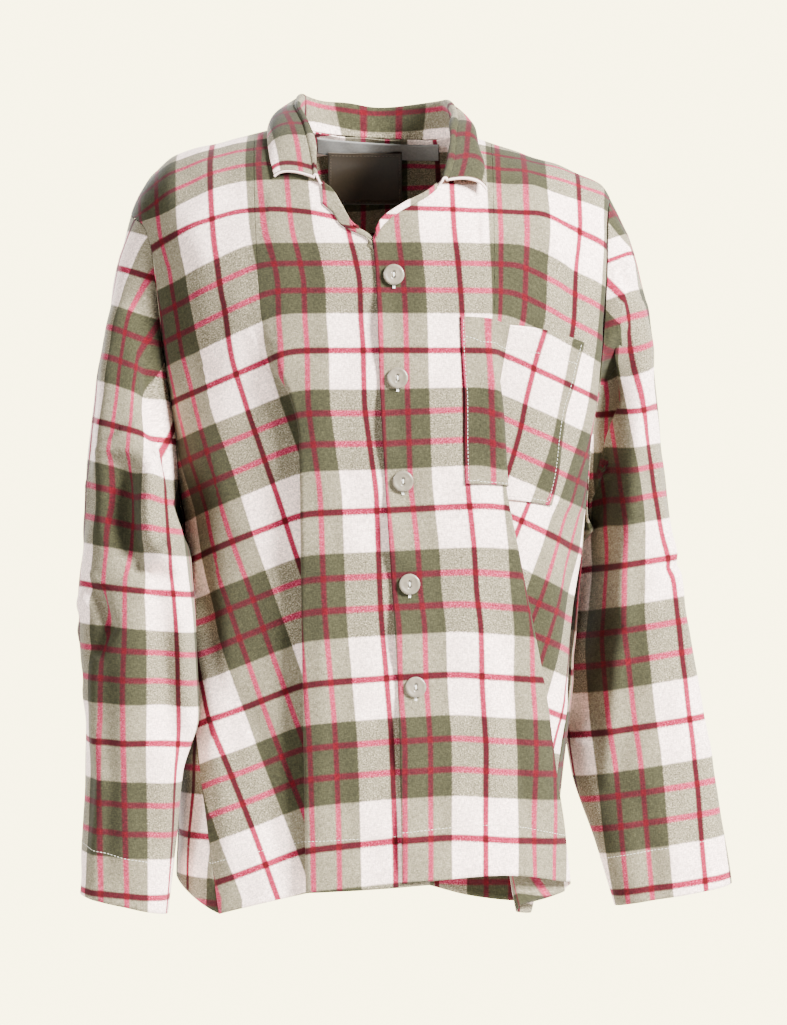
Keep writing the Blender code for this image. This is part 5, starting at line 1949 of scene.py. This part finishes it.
BACK = Back(
    hem=Table("across height", (
        (0.0, -0.714), (0.14, -0.686), (0.3, -0.68), (0.52, -0.698), (0.72, -0.723), (0.86, -0.704),
        (1.0, -0.696),
    )),
    flutes=(
        Flute(112, 11, -0.007, -0.42), Flute(137, 13, 0.012, -0.3), Flute(158, 11, -0.008, -0.34),
        Flute(181, 14, 0.01, -0.24), Flute(206, 12, -0.009, -0.36), Flute(229, 13, 0.011, -0.28),
        Flute(252, 11, -0.007, -0.42),
    ),
    creases=(
        Crease(((-0.15, -0.12), (-0.122, -0.26), (-0.106, -0.42), (-0.112, -0.62)), 0.006, 0.016),
        Crease(((-0.08, -0.2), (-0.064, -0.38), (-0.071, -0.66)), -0.005, 0.014),
        Crease(((0.028, -0.16), (0.02, -0.34), (0.036, -0.56), (0.031, -0.7)), 0.005, 0.018),
        Crease(((0.112, -0.14), (0.09, -0.3), (0.084, -0.48), (0.099, -0.69)), -0.006, 0.015),
        Crease(((0.172, -0.205), (0.138, -0.29), (0.066, -0.352)), 0.005, 0.01),
        Crease(((-0.178, -0.235), (-0.137, -0.304), (-0.058, -0.338)), 0.004, 0.009),
        Crease(((-0.152, -0.424), (-0.07, -0.458), (0.034, -0.449)), -0.003, 0.009),
        Crease(((0.163, -0.517), (0.088, -0.562), (-0.004, -0.553)), -0.003, 0.01),
    ),
)
RING_NAMES = "along out_height in_height out_x in_x middle depth lean"
RIGHT_SLEEVE = Sleeve(
    name="sleeve_right",
    side=Side.RIGHT,
    front=RIGHT_FRONT,
    back=BACK,
    rings=Table(RING_NAMES, (
        (0.1, -0.104, -0.358, 0.245, 0.1895, -0.016, 0.061, 0.014),
        (0.22, -0.165, -0.38, 0.255, 0.176, -0.036, 0.062, 0.022),
        (0.35, -0.245, -0.408, 0.263, 0.172, -0.052, 0.061, 0.022),
        (0.48, -0.335, -0.44, 0.271, 0.169, -0.064, 0.058, 0.02),
        (0.6, -0.425, -0.48, 0.278, 0.167, -0.074, 0.055, 0.016),
        (0.7, -0.495, -0.53, 0.274, 0.165, -0.078, 0.05, 0.012),
        (0.8, -0.56, -0.585, 0.269, 0.181, -0.072, 0.047, 0.006),
        (0.9, -0.63, -0.65, 0.273, 0.188, -0.062, 0.045, 0.002),
        (1.0, -0.697, -0.7175, 0.277, 0.1965, -0.054, 0.043, 0.0),
    )),
    wefts=Table("height repeats slope", (
        (0.0, -0.85, -0.45), (-0.125, 0.0, -0.4), (-0.272, 1.0, -0.3), (-0.415, 2.0, -0.1),
        (-0.555, 3.0, -0.05), (-0.697, 4.0, -0.1), (-0.73, 4.23, -0.12),
    )),
    warps=Table("height x", (
        (-0.15, -0.199), (-0.18, -0.205), (-0.205, -0.213), (-0.235, -0.224), (-0.29, -0.228),
        (-0.38, -0.231), (-0.71, -0.231),
    )),
    creases=(
        Crease(((-0.225, -0.115), (-0.212, -0.138), (-0.198, -0.155)), -0.005, 0.006),
        Crease(
            ((-0.24, -0.15), (-0.25, -0.205), (-0.254, -0.27), (-0.253, -0.33), (-0.25, -0.375)), 0.006, 0.009
        ),
        Crease(((-0.188, -0.17), (-0.192, -0.24), (-0.194, -0.29)), -0.026, 0.02),
        Crease(((-0.24, -0.27), (-0.215, -0.3)), 0.006, 0.028),
        Crease(((-0.234, -0.29), (-0.234, -0.34), (-0.229, -0.372), (-0.218, -0.396)), -0.017, 0.016),
        Crease(((-0.208, -0.29), (-0.21, -0.34), (-0.209, -0.375)), 0.012, 0.009),
        Crease(((-0.225, -0.396), (-0.203, -0.4), (-0.178, -0.404)), -0.01, 0.012),
        Crease(((-0.178, -0.35), (-0.19, -0.378), (-0.212, -0.392)), 0.011, 0.007),
        Crease(((-0.172, -0.408), (-0.19, -0.408), (-0.214, -0.416)), -0.007, 0.01),
        Crease(((-0.285, -0.435), (-0.27, -0.425), (-0.258, -0.4)), 0.006, 0.009),
        Crease(((-0.27, -0.405), (-0.258, -0.42), (-0.247, -0.45), (-0.261, -0.475)), -0.01, 0.007),
        Crease(((-0.198, -0.42), (-0.194, -0.48), (-0.188, -0.56)), -0.024, 0.018),
        Crease(
            ((-0.258, -0.475), (-0.257, -0.535), (-0.252, -0.59), (-0.258, -0.655), (-0.262, -0.7)),
            0.005,
            0.007,
        ),
        Crease(((-0.23, -0.47), (-0.231, -0.555), (-0.232, -0.685)), 0.004, 0.012),
    ),
    flat=(0.36, 0.60),
    guide_place=0.59,
    clear=(0.0010, 0.0028),
)
LEFT_SLEEVE = Sleeve(
    name="sleeve_left",
    side=Side.LEFT,
    front=LEFT_FRONT,
    back=BACK,
    rings=Table(RING_NAMES, (
        (0.1, -0.085, -0.362, 0.239, 0.2035, 0.006, 0.06, -0.012),
        (0.22, -0.15, -0.378, 0.254, 0.188, 0.026, 0.06, -0.02),
        (0.35, -0.235, -0.405, 0.264, 0.179, 0.034, 0.057, -0.022),
        (0.48, -0.32, -0.435, 0.274, 0.174, 0.037, 0.052, -0.022),
        (0.6, -0.405, -0.48, 0.286, 0.175, 0.032, 0.047, -0.018),
        (0.7, -0.48, -0.53, 0.297, 0.176, 0.03, 0.043, -0.012),
        (0.8, -0.55, -0.59, 0.31, 0.185, 0.024, 0.039, -0.006),
        (0.9, -0.625, -0.655, 0.324, 0.207, 0.018, 0.034, 0.0),
        (1.0, -0.697, -0.718, 0.337, 0.226, 0.014, 0.029, 0.0),
    )),
    wefts=Table("height repeats slope", (
        (0.0, -0.75, 0.45), (-0.09, -0.27, 0.5), (-0.112, 0.0, 0.5), (-0.148, 0.25, 0.5), (-0.2, 0.59, 0.45),
        (-0.222, 0.75, 0.35), (-0.251, 1.0, 0.15), (-0.395, 2.0, 0.17), (-0.548, 3.0, 0.16),
        (-0.697, 4.0, 0.15), (-0.73, 4.22, 0.15),
    )),
    warps=Table("height x", (
        (-0.12, 0.22), (-0.15, 0.225), (-0.183, 0.229), (-0.215, 0.233), (-0.25, 0.237), (-0.285, 0.243),
        (-0.315, 0.249), (-0.355, 0.258), (-0.395, 0.267), (-0.435, 0.277), (-0.48, 0.284), (-0.54, 0.292),
        (-0.58, 0.298), (-0.65, 0.305), (-0.71, 0.311),
    )),
    creases=(
        Crease(((0.208, -0.108), (0.22, -0.105), (0.24, -0.112)), 0.004, 0.005, True),
        Crease(((0.214, -0.121), (0.228, -0.126), (0.242, -0.137)), -0.005, 0.006),
        Crease(((0.221, -0.17), (0.218, -0.24), (0.214, -0.3), (0.207, -0.36)), -0.018, 0.013),
        Crease(((0.188, -0.31), (0.183, -0.35), (0.175, -0.42), (0.163, -0.56)), -0.05, 0.03),
        Crease(((0.246, -0.145), (0.249, -0.19), (0.245, -0.24), (0.243, -0.29), (0.24, -0.35)), 0.009, 0.01),
        Crease(((0.24, -0.35), (0.233, -0.39), (0.231, -0.425), (0.234, -0.455)), 0.009, 0.01),
        Crease(((0.234, -0.455), (0.227, -0.49), (0.222, -0.54), (0.216, -0.605)), 0.007, 0.01),
        Crease(((0.281, -0.37), (0.288, -0.43), (0.3, -0.5), (0.31, -0.575), (0.32, -0.66)), 0.005, 0.01),
        Crease(((0.293, -0.389), (0.28, -0.394), (0.268, -0.402)), -0.004, 0.006),
        Crease(((0.246, -0.605), (0.256, -0.66), (0.262, -0.712)), -0.003, 0.01),
    ),
    flat=(0.36, 0.60),
    tuck=(0.014, 0.030),
    hidden=0.020,
)
COLLAR = Collar(
    fronts={Side.RIGHT: RIGHT_FRONT, Side.LEFT: LEFT_FRONT},
    back=BACK,
    shape=Table("along roll_x roll_y roll_z edge_x edge_y lift", (
        (0.0, -0.055, -0.11, -0.035, -0.0945, -0.0955, 0.003),
        (0.07, -0.0575, -0.09, -0.008, -0.099, -0.08, 0.0026),
        (0.15, -0.064, -0.06, 0.02, -0.102, -0.054, 0.0024),
        (0.25, -0.073, -0.018, 0.044, -0.103, -0.008, 0.0026),
        (0.35, -0.07, 0.033, 0.056, -0.09, 0.05, 0.0035), (0.5, -0.002, 0.069, 0.0495, -0.002, 0.087, 0.005),
        (0.65, 0.062, 0.033, 0.0505, 0.083, 0.05, 0.0035),
        (0.75, 0.0695, -0.016, 0.035, 0.089, -0.008, 0.003),
        (0.85, 0.0675, -0.06, 0.012, 0.0925, -0.056, 0.0035),
        (0.93, 0.0655, -0.09, -0.016, 0.097, -0.08, 0.006),
        (1.0, 0.06, -0.1105, -0.038, 0.098, -0.0975, 0.0115),
    )),
)
POCKET = Pocket(
    edges=Table("share top bottom", (
        (0.0, -0.164, -0.318), (0.3, -0.1655, -0.318), (0.7, -0.172, -0.327), (1.0, -0.1963, -0.344),
    )),
    sides=Table("height inner outer", (
        (-0.16, 0.076, 0.1925), (-0.258, 0.0775, 0.177), (-0.345, 0.079, 0.155),
    )),
    shares=((0.15, 0.30, 0.70, 1.00), (0.0, 0.3, 0.7, 1.0)),
)


# ---------------------------------------------------------------- floor, light and camera
@dataclass(frozen=True)
class Studio:
    """A plain pale floor, soft light and the camera."""

    backdrop: Colour = (1.0, 0.9, 0.5)
    backdrop_strength: float = 8.0
    ambient: float = 0.035
    floor_height: float = -0.96
    floor_radius: float = 0.74
    # place, width and power of each light
    lights: tuple[tuple[tuple[float, float, float], float, float], ...] = (
        ((2.5, -2.1, 1.3), 1.1, 1150.0),
        ((-2.5, -2.1, 0.5), 0.9, 180.0),
        ((-1.5, 2.8, 0.9), 1.3, 420.0),
        ((1.9, 2.5, 0.5), 1.3, 200.0),
    )
    target: tuple[float, float, float] = (0.0, 0.0, -0.30)
    camera: tuple[float, float, float] = (0.0147, -3.2, -0.344)
    lens: float = 118.3
    sensor: float = 36.0
    clip: tuple[float, float] = (0.1, 50.0)

    def build(self) -> None:
        """Makes the floor, the light and the camera."""
        self.build_floor()
        self.build_world()
        for number, (place, size, energy) in enumerate(self.lights):
            data = bpy.data.lights.new(f"softbox_{number + 1}", "AREA")
            data.shape, data.size, data.energy = "DISK", size, energy
            lamp = bpy.data.objects.new(data.name, data)
            lamp.location = place
            lamp.rotation_euler = (Vector(self.target) - Vector(place)).to_track_quat("-Z", "Y").to_euler()
            bpy.context.scene.collection.objects.link(lamp)
        data = bpy.data.cameras.new("camera")
        data.lens, data.sensor_width = self.lens, self.sensor
        data.clip_start, data.clip_end = self.clip
        camera = bpy.data.objects.new("camera", data)
        camera.location = self.camera
        camera.rotation_euler = (math.pi / 2, 0, 0)
        bpy.context.scene.collection.objects.link(camera)
        bpy.context.scene.camera = camera

    def build_floor(self) -> None:
        """A thin round slab with a flat top: rings from the middle out, down the rim and back."""
        sides = 96
        turn = np.linspace(0, 2 * np.pi, sides, endpoint=False)
        radii = np.array([0.001, self.floor_radius, self.floor_radius, 0.001])[:, None]
        lifts = np.array([0.0, 0.0, -0.01, -0.01])[:, None]
        rings = [np.cos(turn) * radii, np.sin(turn) * radii, self.floor_height + lifts + 0 * turn]
        points = np.stack(rings, axis=-1).reshape(-1, 3)
        floor = surface_object("floor", points, ring_faces(len(radii), sides))
        weld(floor.data, 0.003)
        floor.data.shade_flat()
        floor.data.materials.append(Plain("pale floor", (0.90, 0.885, 0.84), 0.9, grain=0.01).material({}))

    def build_world(self) -> None:
        """An even pale surround, and a dimmer even light from it."""
        world = bpy.data.worlds.new("surround")
        world.use_nodes = True
        wire = Wiring(world.node_tree)
        nodes = world.node_tree.nodes
        values = {"Color": (*self.backdrop, 1), "Strength": self.backdrop_strength}
        seen = wire.add("ShaderNodeBackground", values)
        cast = wire.add("ShaderNodeBackground", {"Color": (1.0, 0.99, 0.97, 1), "Strength": self.ambient})
        path = wire.add("ShaderNodeLightPath").outputs["Is Camera Ray"]
        both = wire.add("ShaderNodeMixShader", {0: path, 1: cast.outputs[0], 2: seen.outputs[0]})
        world.node_tree.links.new(both.outputs[0], nodes["World Output"].inputs["Surface"])
        bpy.context.scene.world = world


def main() -> None:
    """Builds the garment piece by piece, then the studio."""
    logging.basicConfig(level=logging.INFO, format="%(name)s: %(message)s")
    wardrobe = Wardrobe()
    right = RIGHT_FRONT.build(wardrobe)
    left = LEFT_FRONT.build(wardrobe)
    back = BACK.build(wardrobe)
    right_sleeve = RIGHT_SLEEVE.build(wardrobe)
    left_sleeve = LEFT_SLEEVE.build(wardrobe)
    COLLAR.build(wardrobe)
    NeckTrims().build(BACK, wardrobe)
    pocket = POCKET.build(LEFT_FRONT, left, wardrobe)
    Buttons().build(wardrobe)
    hems = {
        "front_right": right,
        "front_left": left,
        "back": back,
        "sleeve_right": right_sleeve,
        "sleeve_left": left_sleeve,
    }
    Seams().build(hems, pocket, wardrobe)
    Studio().build()


if __name__ == "__main__":
    main()
